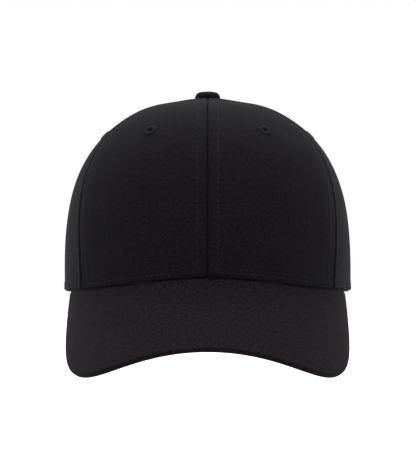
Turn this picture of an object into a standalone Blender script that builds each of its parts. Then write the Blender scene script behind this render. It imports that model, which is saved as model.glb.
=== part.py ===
"""Six-panel structured cap with a curved visor and a snap closure at the back.

The frame is +Z up with the visor towards -Y. The origin is the centre of the head opening, in the
plane of the crown's lower edge at its sides and back, so the wearer's left is +X. Lengths in this
file are in millimetres and angles in degrees until make_object() turns them into metres.

A place on the crown is given by two numbers: turn, the angle round from the front (0) through the
wearer's left (90) to the back (180), and share, the part of the way up from the lower edge (0) to
the button (1). Everything inside the crown lies at a depth under that surface.
"""

import math

import bmesh
import bpy
import numpy as np

MM = 0.001
GAP = 0.3  # left between pieces that touch on the real cap

# Crown, outside
HALF_WIDTH = 87.85
FRONT_REACH = 100.0
BACK_REACH = 100.0
CROWN_HEIGHT = 118.0
SHOULDER = 2.2  # how round the crown is seen along a meridian
SIDE_RISE = 3.125  # how long each meridian stays upright before it turns over
FRONT_RISE = 4.0
BACK_RISE = 2.7
BASE_SQUARENESS = 2.1  # exponent of the horizontal sections, 2 being an ellipse
TOP_SQUARENESS = 2.2
FRONT_SQUARENESS = 0.2  # what the stiffened front adds to it, halfway up
FRONT_EDGE_LIFT = 7.0  # how far the lower edge rises at the middle of the visor
FRONT_EDGE_SPAN = 72.0
FRONT_SEAM_TURN = 59.3
FRONT_SEAM_LEAN = 3.6  # its foot is this much nearer to the front, and its upper part further back
SEAM_LEAN_SHARES = (0.1, 0.65)  # where it changes over
BACK_SEAM_TURN = 120.0
SEAM_GAP = 0.4
TOP_HOLE_RADIUS = 2.5

# Layers of the crown, as depths under its outer face
PANEL_THICKNESS = 0.7
BUCKRAM_DEPTH, BUCKRAM_THICKNESS = 1.0, 0.6
FRONT_TAPE_DEPTH, BACK_TAPE_DEPTH, TAPE_THICKNESS = 2.15, 1.2, 0.4
TAPE_HALF_WIDTH = 5.5
TAPE_TOP_RADIUS = 6.6
BAND_DEPTH, BAND_THICKNESS, BAND_HEIGHT = 2.75, 2.6, 32.0
BAND_CLOTH = 0.4
BAND_END_TURN = 144.8

# Opening at the back
OPENING_TURN = 34.2  # half its angle at the lower edge
OPENING_HEIGHT = 52.0
BINDING_WIDTH = 9.0
BINDING_FOOT_HEIGHT = 19.0

# Visor
VISOR_TILT = 34.4
VISOR_TOP_HEIGHT = 9.0  # where its upper face meets the middle of the crown
ARCH_RADIUS = 105.6
ARCH_TUCK, ARCH_TUCK_POWER = 3.3, 24  # the extra turn down beside the tips
VISOR_MAX_HALF_WIDTH = 83.2
VISOR_LENGTH = 65.0
VISOR_WIDEST_AT = -23.0
VISOR_TIP = (82.6, -44.0)
VISOR_BOW, VISOR_SWEEP = 0.36, 0.74  # how square its free edge is, across and out
VISOR_SIDE = (-44.0, 30.0)  # how far out its sides reach, before the front edge's curve
VISOR_ROOT_HALF_WIDTH = 81.0
VISOR_ROOT_GAP = 0.6  # from the visor to the crown's face
VISOR_THICKNESS = 3.4
VISOR_CLOTH = 0.6
BOARD_THICKNESS = 1.5

# Ventilation eyelets
EYELET_HEIGHT = 95.5
EYELET_TURNS = {"front": 29.2, "side": 90.0, "back": 150.0}
EYELET_RADIUS, EYELET_HOLE_RADIUS, EYELET_NECK_RADIUS = 3.8, 1.3, 1.95
EYELET_FLANGE = 0.45

# Button
BUTTON_RADIUS, BUTTON_HEIGHT = 7.5, 4.0
BUTTON_CLOTH, BUTTON_SHELL = 0.6, 0.5
RIVET_RADIUS, RIVET_HEAD_RADIUS, RIVET_TAIL_RADIUS = 1.4, 5.6, 2.4
BACKPLATE_RADIUS, BACKPLATE_THICKNESS = 6.0, 0.6

# Snap closure
STRAP_BOTTOM, STRAP_TOP = 2.0, 17.0
STRAP_THICKNESS = 1.2
STRAP_DEPTH, INNER_STRAP_DEPTH = 1.15, 2.75
STRAP_ROOT_TURN, STRAP_TIP_TURN = 30.2, -18.0
TAB_TURNS = (30.7, 41.0)
SNAP_PITCH_TURN = 5.8
FIRST_HOLE_TURN, HOLE_COUNT, HOLE_RADIUS = -15.0, 8, 2.4
FIRST_PEG_TURN, PEG_COUNT, PEG_RADIUS = -20.8, 7, 1.7
PEG_STAND = 0.6  # how far a peg's head shows past the outer strap

LABEL_TURNS = (104.0, 118.0)
LABEL_HEIGHTS = (6.0, 27.0)


# ---------------------------------------------------------------- crown surface
def shoulder(height_share, rise):
    """Reach of a meridian at this share of the crown's height, as a share of its reach at the edge."""
    return (1 - height_share**rise) ** (1 / SHOULDER)


def profile_table():
    """Matching lists of share and height share, evenly walked along the side meridian."""
    angle = 0.5 * math.pi * np.linspace(0, 1, 3001) ** 2
    height_share = np.sin(angle) ** (2 / SIDE_RISE)
    reach = HALF_WIDTH * np.cos(angle) ** (2 / SHOULDER)
    steps = np.hypot(np.diff(reach), np.diff(height_share * CROWN_HEIGHT))
    walked = np.concatenate([[0], np.cumsum(steps)])
    return walked / walked[-1], height_share


PROFILE_SHARES, PROFILE_HEIGHTS = profile_table()


def share_at(height):
    """The share at which the crown is this many millimetres above its lower edge plane."""
    return np.interp(np.asarray(height) / CROWN_HEIGHT, PROFILE_HEIGHTS, PROFILE_SHARES)


def smooth(start, end, value):
    """0 before start, 1 after end, and an S-curve between."""
    x = np.clip((value - start) / (end - start), 0, 1)
    return x * x * (3 - 2 * x)


def squareness(height_share, front):
    """Exponent of the horizontal section: the stiffened front is squarer than the back."""
    plain = BASE_SQUARENESS + (TOP_SQUARENESS - BASE_SQUARENESS) * height_share
    extra = 4 * FRONT_SQUARENESS * height_share * (1 - height_share)
    return plain + extra if front else plain


def leaned(turn, share):
    """Turns shifted so that a line of constant turn near the front seams leans back as it rises."""
    beside = np.sin(np.pi * np.clip(turn / FRONT_SEAM_TURN, -2, 2) / 2)
    lean = FRONT_SEAM_LEAN * (2 * smooth(*SEAM_LEAN_SHARES, share) - 1)
    return turn + lean * beside * np.abs(beside)


def crown_point(turn, share):
    """Points on the crown's outer face, for arrays of turn in degrees and share."""
    turn, share = np.broadcast_arrays(turn, share)
    turn = np.radians(leaned(turn, share))
    height_share = np.interp(share, PROFILE_SHARES, PROFILE_HEIGHTS)
    is_front = np.cos(turn) > 0
    power = np.where(is_front, squareness(height_share, True), squareness(height_share, False))
    reach = np.where(
        is_front,
        FRONT_REACH * shoulder(height_share, FRONT_RISE),
        BACK_REACH * shoulder(height_share, BACK_RISE),
    )
    across, along = np.abs(np.sin(turn)), np.abs(np.cos(turn))
    radius = (across**power + along**power) ** (-1 / power)
    x = HALF_WIDTH * shoulder(height_share, SIDE_RISE) * radius * np.sin(turn)
    return np.stack([x, -reach * radius * np.cos(turn), CROWN_HEIGHT * height_share], axis=-1)


def unit(vectors):
    return vectors / np.linalg.norm(vectors, axis=-1, keepdims=True)


def crown_normal(turn, share):
    """Outward unit normals of the crown's outer face."""
    step = 1e-4
    low = np.clip(share, step, 1 - 2 * step)
    across = crown_point(np.asarray(turn) + 0.1, low) - crown_point(np.asarray(turn) - 0.1, low)
    up = crown_point(turn, low + step) - crown_point(turn, low - step)
    return unit(np.cross(across, up))


def at_depth(turn, share, depth):
    return crown_point(turn, share) - crown_normal(turn, share) * np.asarray(depth)[..., None]


def edge_height(turn):
    """Height of the crown's lower edge, which rises over the visor and is level elsewhere."""
    point = crown_point(turn, 0.0)
    inside = np.clip(1 - (point[..., 0] / FRONT_EDGE_SPAN) ** 2, 0, 1)
    return np.where(point[..., 1] < 0, FRONT_EDGE_LIFT * inside**1.5, 0.0)


def ring_radius(share):
    """A rough distance from the crown's axis to its face, for turning widths into angles."""
    return np.linalg.norm(crown_point(90.0, share)[..., :2], axis=-1)


def share_at_radius(radius):
    shares = np.linspace(0.5, 1, 2001)
    return float(np.interp(-radius, -ring_radius(shares), shares))


# ---------------------------------------------------------------- meshes and objects
MATERIALS = {
    "cotton_twill": ((0.016, 0.014, 0.018), 0.85, 0.0),
    "visor_twill": ((0.022, 0.018, 0.022), 0.85, 0.0),
    "buckram_mesh": ((0.03, 0.03, 0.032), 0.9, 0.0),
    "seam_tape": ((0.012, 0.012, 0.013), 0.7, 0.0),
    "sweatband_twill": ((0.014, 0.013, 0.015), 0.8, 0.0),
    "foam": ((0.25, 0.24, 0.22), 0.95, 0.0),
    "visor_board": ((0.6, 0.6, 0.58), 0.5, 0.0),
    "embroidery_thread": ((0.02, 0.018, 0.022), 0.5, 0.0),
    "button_metal": ((0.6, 0.6, 0.6), 0.35, 1.0),
    "snap_plastic": ((0.01, 0.01, 0.011), 0.35, 0.0),
    "label_satin": ((0.5, 0.5, 0.5), 0.5, 0.0),
}


def material(name):
    found = bpy.data.materials.get(name)
    if found:
        return found
    colour, roughness, metallic = MATERIALS[name]
    made = bpy.data.materials.new(name)
    made.use_nodes = True
    shader = made.node_tree.nodes["Principled BSDF"]
    shader.inputs["Base Color"].default_value = (*colour, 1)
    shader.inputs["Roughness"].default_value = roughness
    shader.inputs["Metallic"].default_value = metallic
    return made


def make_object(name, points, faces, slot, origin=(0, 0, 0)):
    """An object from points in millimetres, with its own origin there too."""
    origin = np.asarray(origin, float)
    mesh = bpy.data.meshes.new(name)
    mesh.from_pydata(((np.asarray(points) - origin) * MM).tolist(), [], [list(f) for f in faces])
    mesh.shade_smooth()
    mesh.set_sharp_from_angle(angle=math.radians(40))
    mesh.materials.append(material(slot))
    made = bpy.data.objects.new(name, mesh)
    made.location = origin * MM
    bpy.context.scene.collection.objects.link(made)
    return made


def grid_faces(columns, rows, flip=False):
    """Quads of a grid whose points are listed column by column."""
    faces = []
    for c in range(columns - 1):
        for r in range(rows - 1):
            first = c * rows + r
            quad = [first, first + rows, first + rows + 1, first + 1]
            faces.append(quad[::-1] if flip else quad)
    return faces


def make_sheet(name, grid, thickness, slot, mirrored=False, flip=False, origin=(0, 0, 0)):
    """A layer of cloth or board: a grid of points on its outer face, thickened inwards."""
    columns, rows = grid.shape[:2]
    points = grid.reshape(-1, 3) * ((-1, 1, 1) if mirrored else (1, 1, 1))
    made = make_object(name, points, grid_faces(columns, rows, mirrored != flip), slot, origin)
    solid = made.modifiers.new("thickness", "SOLIDIFY")
    solid.thickness = thickness * MM
    solid.offset = -1
    solid.use_even_offset = True
    return made


def make_turned(name, profile, slot, sides=24, place=(0, 0, 0), axis=(0, 0, 1)):
    """A closed profile of (radius, height) turned round an axis through place."""
    axis = unit(np.asarray(axis, float))
    helper = np.array([1.0, 0, 0]) if abs(axis[0]) < 0.9 else np.array([0, 1.0, 0])
    first = unit(np.cross(axis, helper))
    second = np.cross(axis, first)
    count = len(profile)
    points = []
    for k in range(sides):
        angle = 2 * math.pi * k / sides
        out = first * math.cos(angle) + second * math.sin(angle)
        points += [np.asarray(place) + out * radius + axis * height for radius, height in profile]
    faces = []
    for k in range(sides):
        here, there = k * count, (k + 1) % sides * count
        for i in range(count):
            after = (i + 1) % count
            faces.append([here + i, there + i, there + after, here + after])
    made = make_object(name, points, faces, slot)
    shape = bmesh.new()
    shape.from_mesh(made.data)
    bmesh.ops.remove_doubles(shape, verts=shape.verts, dist=1e-7)
    bmesh.ops.recalc_face_normals(shape, faces=shape.faces)
    shape.to_mesh(made.data)
    shape.free()
    return made


def make_rods(name, places, axes, radius, low, high, slot="embroidery_thread", sides=12):
    """Separate round rods in one mesh, each along its own axis from low to high."""
    points, faces = [], []
    for place, axis in zip(places, axes, strict=True):
        first = unit(np.cross(axis, (0.0, 0.0, 1.0)))
        second = np.cross(axis, first)
        start = len(points)
        for k in range(sides):
            angle = 2 * math.pi * k / sides
            out = radius * (first * math.cos(angle) + second * math.sin(angle))
            points += [place + out + axis * low, place + out + axis * high]
        for k in range(sides):
            a, b = start + 2 * k, start + 2 * ((k + 1) % sides)
            faces.append([a, b, b + 1, a + 1])
        faces.append([start + 2 * k for k in reversed(range(sides))])
        faces.append([start + 2 * k + 1 for k in range(sides)])
    return make_object(name, points, faces, slot)


def combine(target, other, operation):
    """Cuts other from target, or joins it on, and keeps other as a hidden helper."""
    step = target.modifiers.new(operation.lower(), "BOOLEAN")
    step.operation = operation
    step.solver = "EXACT"
    step.object = other
    other.hide_render = True
    other.display_type = "WIRE"


# ---------------------------------------------------------------- crown pieces
def spread(lower, upper, columns, rows):
    """A grid of (turn, share) between a lower and an upper line, each a function of 0 to 1."""
    across = np.linspace(0, 1, columns)
    up = np.linspace(0, 1, rows)
    low, high = np.stack(lower(across), -1), np.stack(upper(across), -1)
    places = low[:, None] + (high - low)[:, None] * up[None, :, None]
    return places[..., 0], places[..., 1]


def pull_in(turn, share, first, last, inset):
    """Moves a panel's two side edges in by inset millimetres, all the way up."""
    angle = np.degrees(inset / ring_radius(share))
    return first + angle + (turn - first) * (last - first - 2 * angle) / (last - first)


def level_edge(first, last, inset=0.0):
    """The crown's lower edge between two turns, raised by inset."""

    def line(across):
        turn = first + (last - first) * across
        return turn, share_at(edge_height(turn) + inset)

    return line


def ring_edge(first, last, radius):
    """A level ring near the top of the crown, at this radius."""

    def line(across):
        return first + (last - first) * across, np.full_like(across, share_at_radius(radius))

    return line


def opening_line(angle, margin=0.0):
    """(turn, share) on the rear opening's edge: angle is 0 at its foot and 90 at its top."""
    angle = np.radians(angle)
    half_turn = OPENING_TURN + np.degrees(margin / BACK_REACH)
    top_share = share_at(OPENING_HEIGHT + margin)
    return 180 - half_turn * np.cos(angle), top_share * np.sin(angle)


def back_panel_edge(across):
    """The back panel's lower line: along the rim from its side seam, then up round the opening."""
    corner = 0.42
    foot_turn = 180 - OPENING_TURN
    rim_turn = BACK_SEAM_TURN + (foot_turn - BACK_SEAM_TURN) * across / corner
    climb = np.clip((across - corner) / (1 - corner), 0, 1)
    arch_turn, arch_share = opening_line(90 * climb)
    on_rim = across <= corner
    return np.where(on_rim, rim_turn, arch_turn), np.where(on_rim, 0.0, arch_share)


def make_panel(name, lower, first, last, mirrored, columns=10, rows=14):
    upper = ring_edge(first, last, TOP_HOLE_RADIUS)
    turn, share = spread(lower, upper, columns, rows)
    turn = pull_in(turn, share, first, last, SEAM_GAP / 2)
    return make_sheet(
        name, at_depth(turn, share, np.zeros_like(turn)), PANEL_THICKNESS, "cotton_twill", mirrored
    )


def make_buckram(name, mirrored):
    first, last = 0.0, FRONT_SEAM_TURN
    turn, share = spread(
        level_edge(first, last, 1.5), ring_edge(first, last, 14.0), columns=10, rows=13
    )
    turn = pull_in(turn, share, first, last, 1.2)
    grid = at_depth(turn, share, np.full_like(turn, BUCKRAM_DEPTH))
    return make_sheet(name, grid, BUCKRAM_THICKNESS, "buckram_mesh", mirrored)


def make_seam_tape(name, turn, depth, low_share, mirrored=False):
    """A tape over a seam's inside, which narrows to a wedge where six of them meet at the top."""
    share = np.linspace(low_share, share_at_radius(TAPE_TOP_RADIUS), 15)
    radius = ring_radius(share)
    wedge = radius * math.tan(math.radians(28)) - GAP
    half = np.degrees(np.minimum(TAPE_HALF_WIDTH, wedge) / radius)
    turns = turn + half[None, :] * np.array([-1.0, 0.0, 1.0])[:, None]
    shares = np.broadcast_to(share, turns.shape)
    grid = at_depth(turns, shares, np.full(turns.shape, depth))
    return make_sheet(name, grid, TAPE_THICKNESS, "seam_tape", mirrored)


def make_sweatband():
    """The band's cloth, folded round its lower edge, and the foam strip inside it."""
    sections = 53
    turn = np.linspace(-BAND_END_TURN, BAND_END_TURN, sections)
    outer, inner = BAND_DEPTH, BAND_DEPTH + BAND_THICKNESS
    top, foot, fold = BAND_HEIGHT, 1.2, 0.5
    path = [(outer, top), (outer, 16.0), (outer, foot), ((outer + inner) / 2, fold)]
    path += [(inner, foot), (inner, 16.0), (inner, top)]
    grid = [
        at_depth(turn, share_at(edge_height(turn) + height), np.full(sections, depth))
        for depth, height in reversed(path)
    ]
    make_sheet("sweatband", np.stack(grid, 1), BAND_CLOTH, "sweatband_twill")

    turn = np.linspace(-BAND_END_TURN + 0.6, BAND_END_TURN - 0.6, sections)
    foam_depth = outer + BAND_CLOTH + GAP
    heights = (foot + 1.6, 16.0, top - 1.0)
    grid = [
        at_depth(turn, share_at(edge_height(turn) + height), np.full(sections, foam_depth))
        for height in heights
    ]
    thickness = BAND_THICKNESS - 2 * (BAND_CLOTH + GAP)
    make_sheet("sweatband_foam", np.stack(grid, 1), thickness, "foam")


def make_binding():
    """The tape round the inside of the rear opening, down to the closure's sewn tabs."""
    half = np.degrees(math.asin(float(share_at(BINDING_FOOT_HEIGHT)) / float(share_at(OPENING_HEIGHT))))
    along = np.linspace(half, 90, 12)
    lines = []
    for margin in (0.4, BINDING_WIDTH / 2, BINDING_WIDTH):
        turn, share = opening_line(along, margin)
        turn = np.concatenate([turn, 360 - turn[-2::-1]])
        share = np.concatenate([share, share[-2::-1]])
        lines.append(at_depth(turn, share, np.full_like(turn, BACK_TAPE_DEPTH)))
    make_sheet("rear_opening_binding", np.stack(lines, 1), TAPE_THICKNESS, "seam_tape")


def make_eyelet(row, side, panels):
    """An embroidered eyelet: a spool whose neck goes through the panel, and its hole in the cloth."""
    turn = EYELET_TURNS[row]
    share = share_at(EYELET_HEIGHT)
    mirror = np.array([1 if side == "left" else -1, 1, 1])
    place = crown_point(turn, share) * mirror
    axis = crown_normal(turn, share) * mirror
    wall = BUCKRAM_DEPTH + BUCKRAM_THICKNESS if row == "front" else PANEL_THICKNESS
    back = -wall - 3 * GAP
    neck, lip = EYELET_NECK_RADIUS, EYELET_RADIUS
    profile = [
        (EYELET_HOLE_RADIUS, GAP + EYELET_FLANGE),
        (lip - 0.4, GAP + EYELET_FLANGE),
        (lip, GAP + 0.1),
        (lip, GAP),
        (neck, GAP),
        (neck, back),
        (lip - 0.3, back),
        (lip - 0.3, back - EYELET_FLANGE),
        (EYELET_HOLE_RADIUS, back - EYELET_FLANGE),
    ]
    make_turned(f"eyelet_{row}_{side}", profile, "embroidery_thread", 12, place, axis)
    cutter = make_rods(f"cutter_{row}_{side}", [place], [axis], neck + GAP, back - 2, 2)
    for panel in panels:
        combine(panel, cutter, "DIFFERENCE")


def make_crown():
    for side, mirrored in (("left", False), ("right", True)):
        front_edge = level_edge(0, FRONT_SEAM_TURN)
        side_edge = level_edge(FRONT_SEAM_TURN, BACK_SEAM_TURN)
        front = make_panel(f"front_panel_{side}", front_edge, 0, FRONT_SEAM_TURN, mirrored)
        flank = make_panel(
            f"side_panel_{side}", side_edge, FRONT_SEAM_TURN, BACK_SEAM_TURN, mirrored
        )
        back = make_panel(
            f"back_panel_{side}", back_panel_edge, BACK_SEAM_TURN, 180, mirrored, columns=14
        )
        buckram = make_buckram(f"front_buckram_{side}", mirrored)
        make_eyelet("front", side, (front, buckram))
        make_eyelet("side", side, (flank,))
        make_eyelet("back", side, (back,))
        low = float(share_at(1.0))
        make_seam_tape(f"seam_tape_front_{side}", FRONT_SEAM_TURN, FRONT_TAPE_DEPTH, low, mirrored)
        make_seam_tape(f"seam_tape_back_{side}", BACK_SEAM_TURN, BACK_TAPE_DEPTH, low, mirrored)
    front_low = float(share_at(FRONT_EDGE_LIFT + 1.0))
    make_seam_tape("seam_tape_front", 0.0, FRONT_TAPE_DEPTH, front_low)
    rear_low = float(share_at(OPENING_HEIGHT + BINDING_WIDTH + 0.5))
    make_seam_tape("seam_tape_rear", 180.0, BACK_TAPE_DEPTH, rear_low)
    make_sweatband()
    make_binding()
    turn = np.linspace(*LABEL_TURNS, 5)[:, None]
    share = share_at(np.linspace(*LABEL_HEIGHTS, 4))[None, :]
    turn, share = np.broadcast_arrays(turn, share)
    depth = np.full(turn.shape, BAND_DEPTH + BAND_THICKNESS + GAP)
    make_sheet("care_label", at_depth(turn, share, depth), 0.4, "label_satin")


# ---------------------------------------------------------------- button
def dome(radius, foot, height, steps):
    """Points down a flat-topped dome's outside, from its axis to its foot."""
    angles = np.linspace(90, 0, steps)
    rise = np.sin(np.radians(angles)) ** 0.8
    reach = np.cos(np.radians(angles)) ** 0.55
    return [(float(radius * r), float(foot + height * h)) for r, h in zip(reach, rise, strict=True)]


def make_button():
    foot = CROWN_HEIGHT + GAP
    cloth, lip_radius = BUTTON_CLOTH, RIVET_HEAD_RADIUS - 0.6
    outside = dome(BUTTON_RADIUS, foot, BUTTON_HEIGHT, 7)
    inside = dome(BUTTON_RADIUS - cloth, foot + cloth, BUTTON_HEIGHT - 2 * cloth, 6)
    cover = outside + [(lip_radius, foot), (lip_radius, foot + cloth)] + inside[::-1]
    make_turned("button_cover", cover, "cotton_twill", 20)

    shell_radius = BUTTON_RADIUS - cloth - GAP
    shell_foot = foot + cloth + GAP
    shell_height = BUTTON_HEIGHT - 2 * cloth - 2 * GAP
    outside = dome(shell_radius, shell_foot, shell_height, 6)
    inside = dome(shell_radius - BUTTON_SHELL, shell_foot, shell_height - BUTTON_SHELL, 6)
    make_turned("button_shell", outside + inside[::-1], "button_metal", 16)

    plate_top = CROWN_HEIGHT - PANEL_THICKNESS - GAP
    plate_foot = plate_top - BACKPLATE_THICKNESS
    head, tail, stem = RIVET_HEAD_RADIUS, RIVET_TAIL_RADIUS, RIVET_RADIUS
    rivet = [(0, shell_foot + 0.7), (head - 0.3, shell_foot + 0.7), (head, shell_foot + 0.4)]
    rivet += [(head, shell_foot), (stem, shell_foot), (stem, plate_foot - GAP)]
    rivet += [(tail, plate_foot - GAP), (tail - 0.4, plate_foot - GAP - 0.6)]
    rivet += [(0, plate_foot - GAP - 0.6)]
    make_turned("button_rivet", rivet, "button_metal", 16)

    hole = stem + GAP
    plate = [(hole, plate_top), (BACKPLATE_RADIUS, plate_top)]
    plate += [(BACKPLATE_RADIUS, plate_foot), (hole, plate_foot)]
    make_turned("button_backplate", plate, "button_metal", 20)


# ---------------------------------------------------------------- visor
TILT = math.radians(VISOR_TILT)
VISOR_UP = np.array([0, -math.sin(TILT), math.cos(TILT)])
VISOR_OUT = np.array([0, -math.cos(TILT), -math.sin(TILT)])


def arch(x):
    """Drop of the visor's arch at x, and its slope there."""
    across = np.abs(x)
    ring = np.sqrt(ARCH_RADIUS**2 - across**2)
    tuck = ARCH_TUCK * (across / VISOR_MAX_HALF_WIDTH) ** ARCH_TUCK_POWER
    slope = across / ring + ARCH_TUCK_POWER * tuck / np.maximum(across, 1e-6)
    return -(ARCH_RADIUS - ring) - tuck, -np.sign(x) * slope


def visor_point(x, out, lift):
    """A point of the visor: x across, out along its slope from the crown, lift above its top face."""
    drop, slope = arch(x)
    size = np.hypot(1, slope)
    sideways, upwards = x - lift * slope / size, drop + lift / size
    origin = np.array([0, -FRONT_REACH, VISOR_TOP_HEIGHT])
    spot = origin + upwards[..., None] * VISOR_UP + np.asarray(out)[..., None] * VISOR_OUT
    return spot + sideways[..., None] * np.array([1.0, 0, 0])


def visor_root(x, lift):
    """How far out the visor starts at x, where a layer at this lift clears the crown's face."""
    drop, slope = arch(x)
    size = np.hypot(1, slope)
    sideways, upwards = x - lift * slope / size, drop + lift / size
    half_width, reach = HALF_WIDTH + VISOR_ROOT_GAP, FRONT_REACH + VISOR_ROOT_GAP
    inside = np.clip(1 - (np.abs(sideways) / half_width) ** BASE_SQUARENESS, 0, 1)
    wall = -reach * inside ** (1 / BASE_SQUARENESS)
    return (-FRONT_REACH - upwards * math.sin(TILT) - wall) / math.cos(TILT)


def visor_outline():
    """(x, out) along the visor's free edge, from its left tip round to its right tip."""
    angle = np.radians(np.linspace(0, 180, 721))
    bow = np.sign(np.cos(angle)) * np.abs(np.cos(angle)) ** VISOR_BOW
    widest = ARCH_RADIUS * math.asin(VISOR_MAX_HALF_WIDTH / ARCH_RADIUS)
    x = ARCH_RADIUS * np.sin(widest * bow / ARCH_RADIUS)
    out = VISOR_WIDEST_AT + (VISOR_LENGTH - VISOR_WIDEST_AT) * np.sin(angle) ** VISOR_SWEEP
    x = np.concatenate([[VISOR_TIP[0]], x, [-VISOR_TIP[0]]])
    out = np.concatenate([[VISOR_TIP[1]], out, [VISOR_TIP[1]]])
    return x, out


def evenly(x, out, count):
    """The same line, walked in equal steps."""
    walked = np.concatenate([[0], np.cumsum(np.hypot(np.diff(x), np.diff(out)))])
    marks = np.linspace(0, walked[-1], count)
    return np.interp(marks, walked, x), np.interp(marks, walked, out)


def visor_sheet(lift, root_lift, columns, rows, inset=0.0, lip=None):
    """Grid over the visor at one lift. inset keeps its edges in, and lip turns the free edge to a lift."""
    outline_x, outline_out = evenly(*visor_outline(), columns)
    outline_x = outline_x * (1 - inset / VISOR_MAX_HALF_WIDTH)
    outline_out = outline_out + inset * (1 - 2 * smooth(*VISOR_SIDE, outline_out))
    root_x = np.linspace(1, -1, 401) * (VISOR_ROOT_HALF_WIDTH - 2 * inset)
    root_x, _ = evenly(root_x, visor_root(root_x, root_lift), columns)
    root_out = visor_root(root_x, root_lift) + inset / 2
    lines = []
    for part in np.linspace(0, 1, rows):
        x = root_x + (outline_x - root_x) * part
        out = root_out + (outline_out - root_out) * part
        lines.append(visor_point(x, out, np.full_like(x, lift)))
    if lip is not None:
        lines.append(visor_point(outline_x, outline_out, np.full_like(outline_x, lip)))
    return np.stack(lines, 1)


def make_visor():
    columns, rows = 29, 7
    half = VISOR_THICKNESS / 2
    top = visor_sheet(0.0, -VISOR_CLOTH, columns, rows, lip=-half + GAP / 2)
    make_sheet("visor_top_cover", top, VISOR_CLOTH, "visor_twill")
    bottom_lift = -VISOR_THICKNESS
    bottom = visor_sheet(bottom_lift, bottom_lift, columns, rows, lip=-half - GAP / 2)
    make_sheet("visor_bottom_cover", bottom, VISOR_CLOTH, "visor_twill", flip=True)
    board_lift = (BOARD_THICKNESS - VISOR_THICKNESS) / 2
    board = visor_sheet(
        board_lift, board_lift - BOARD_THICKNESS, columns, rows, inset=VISOR_CLOTH + 2 * GAP
    )
    make_sheet("visor_board", board, BOARD_THICKNESS, "visor_board")


# ---------------------------------------------------------------- snap closure
def strap_point(turn, height, depth):
    """A point of a strap, which stands upright and follows the rim. turn is from the back's middle."""
    edge = crown_point(180 - turn, 0.0)
    flat = crown_normal(180 - turn, 0.0) * (1, 1, 0)
    spot = edge - unit(flat) * np.asarray(depth)[..., None]
    return spot + np.asarray(height)[..., None] * np.array([0, 0, 1.0])


def make_strap(name, depth_of):
    """One half of the closure on the wearer's left: a strip with a rounded tip."""
    turns = np.linspace(STRAP_ROOT_TURN, STRAP_TIP_TURN, 19)
    middle, half = (STRAP_TOP + STRAP_BOTTOM) / 2, (STRAP_TOP - STRAP_BOTTOM) / 2
    to_tip = (turns - STRAP_TIP_TURN) / 4.0
    tip = np.sqrt(np.clip(1 - (1 - np.clip(to_tip, 0, 1)) ** 2, 0.12, 1))
    lines = []
    for level in (-1, 0, 1):
        lines.append(strap_point(turns, middle + half * level * tip, depth_of(turns)))
    return np.stack(lines, 1)


def hinge_place(turn_sign):
    """Where a strap bends: on its mid-thickness, just inside its root end."""
    turn = STRAP_ROOT_TURN - math.degrees(GAP / BACK_REACH)
    point = strap_point(np.array(turn), np.array(0.0), np.array(STRAP_DEPTH + STRAP_THICKNESS / 2))
    return point * (turn_sign, 1, 1)


def snap_places(first, count, depth):
    turns = first + SNAP_PITCH_TURN * np.arange(count)
    level = np.full(count, (STRAP_TOP + STRAP_BOTTOM) / 2)
    places = strap_point(turns, level, np.full(count, depth))
    axes = unit(crown_normal(180 - turns, 0.0) * (1, 1, 0))
    return places, axes


def make_closure():
    outer = make_strap("snap_strap_holes", lambda turns: np.full_like(turns, STRAP_DEPTH))
    outer = make_sheet(
        "snap_strap_holes", outer, STRAP_THICKNESS, "snap_plastic", origin=hinge_place(1)
    )
    places, axes = snap_places(FIRST_HOLE_TURN, HOLE_COUNT, STRAP_DEPTH)
    cutter = make_rods("cutter_snap_holes", places, axes, HOLE_RADIUS, -2.5, 1.5, "snap_plastic")
    combine(outer, cutter, "DIFFERENCE")

    def step_in(turns):
        """The peg strap steps in from its tab's layer to pass behind the other strap."""
        return STRAP_DEPTH + (INNER_STRAP_DEPTH - STRAP_DEPTH) * (1 - smooth(22.5, 29.5, turns))

    inner = make_strap("snap_strap_pegs", step_in)
    inner = make_sheet(
        "snap_strap_pegs",
        inner,
        STRAP_THICKNESS,
        "snap_plastic",
        mirrored=True,
        origin=hinge_place(-1),
    )
    places, axes = snap_places(FIRST_PEG_TURN, PEG_COUNT, INNER_STRAP_DEPTH)
    stand = INNER_STRAP_DEPTH - STRAP_DEPTH + PEG_STAND
    pegs = make_rods("pegs", places, axes, PEG_RADIUS, -0.5, stand, "snap_plastic")
    combine(inner, pegs, "UNION")

    for side, mirrored in (("left", False), ("right", True)):
        turn = 180 - np.linspace(TAB_TURNS[0], TAB_TURNS[1], 5)[::-1]
        heights = share_at(np.linspace(STRAP_BOTTOM, STRAP_TOP, 4))
        turn, share = np.broadcast_arrays(turn[:, None], heights[None, :])
        grid = at_depth(turn, share, np.full(turn.shape, STRAP_DEPTH))
        make_sheet(f"strap_tab_{side}", grid, STRAP_THICKNESS, "snap_plastic", mirrored)


def clear_scene():
    for old in list(bpy.data.objects):
        bpy.data.objects.remove(old, do_unlink=True)


clear_scene()
make_crown()
make_button()
make_visor()
make_closure()
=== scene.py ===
"""Looks of a six-panel cap: cloth panels with pressed and topstitched seams, a wrapped visor,
embroidered eyelets, a covered button, the sewn inside and the snap closure.

Lengths are in millimetres and angles in degrees until make_mesh() turns them into metres. A place
on the crown is a turn, round from the front (0) through the wearer's left (90) to the back (180),
and a share, from the lower edge (0) to the button (1). Layers lie at a depth under its outer face.
"""

import math

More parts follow.
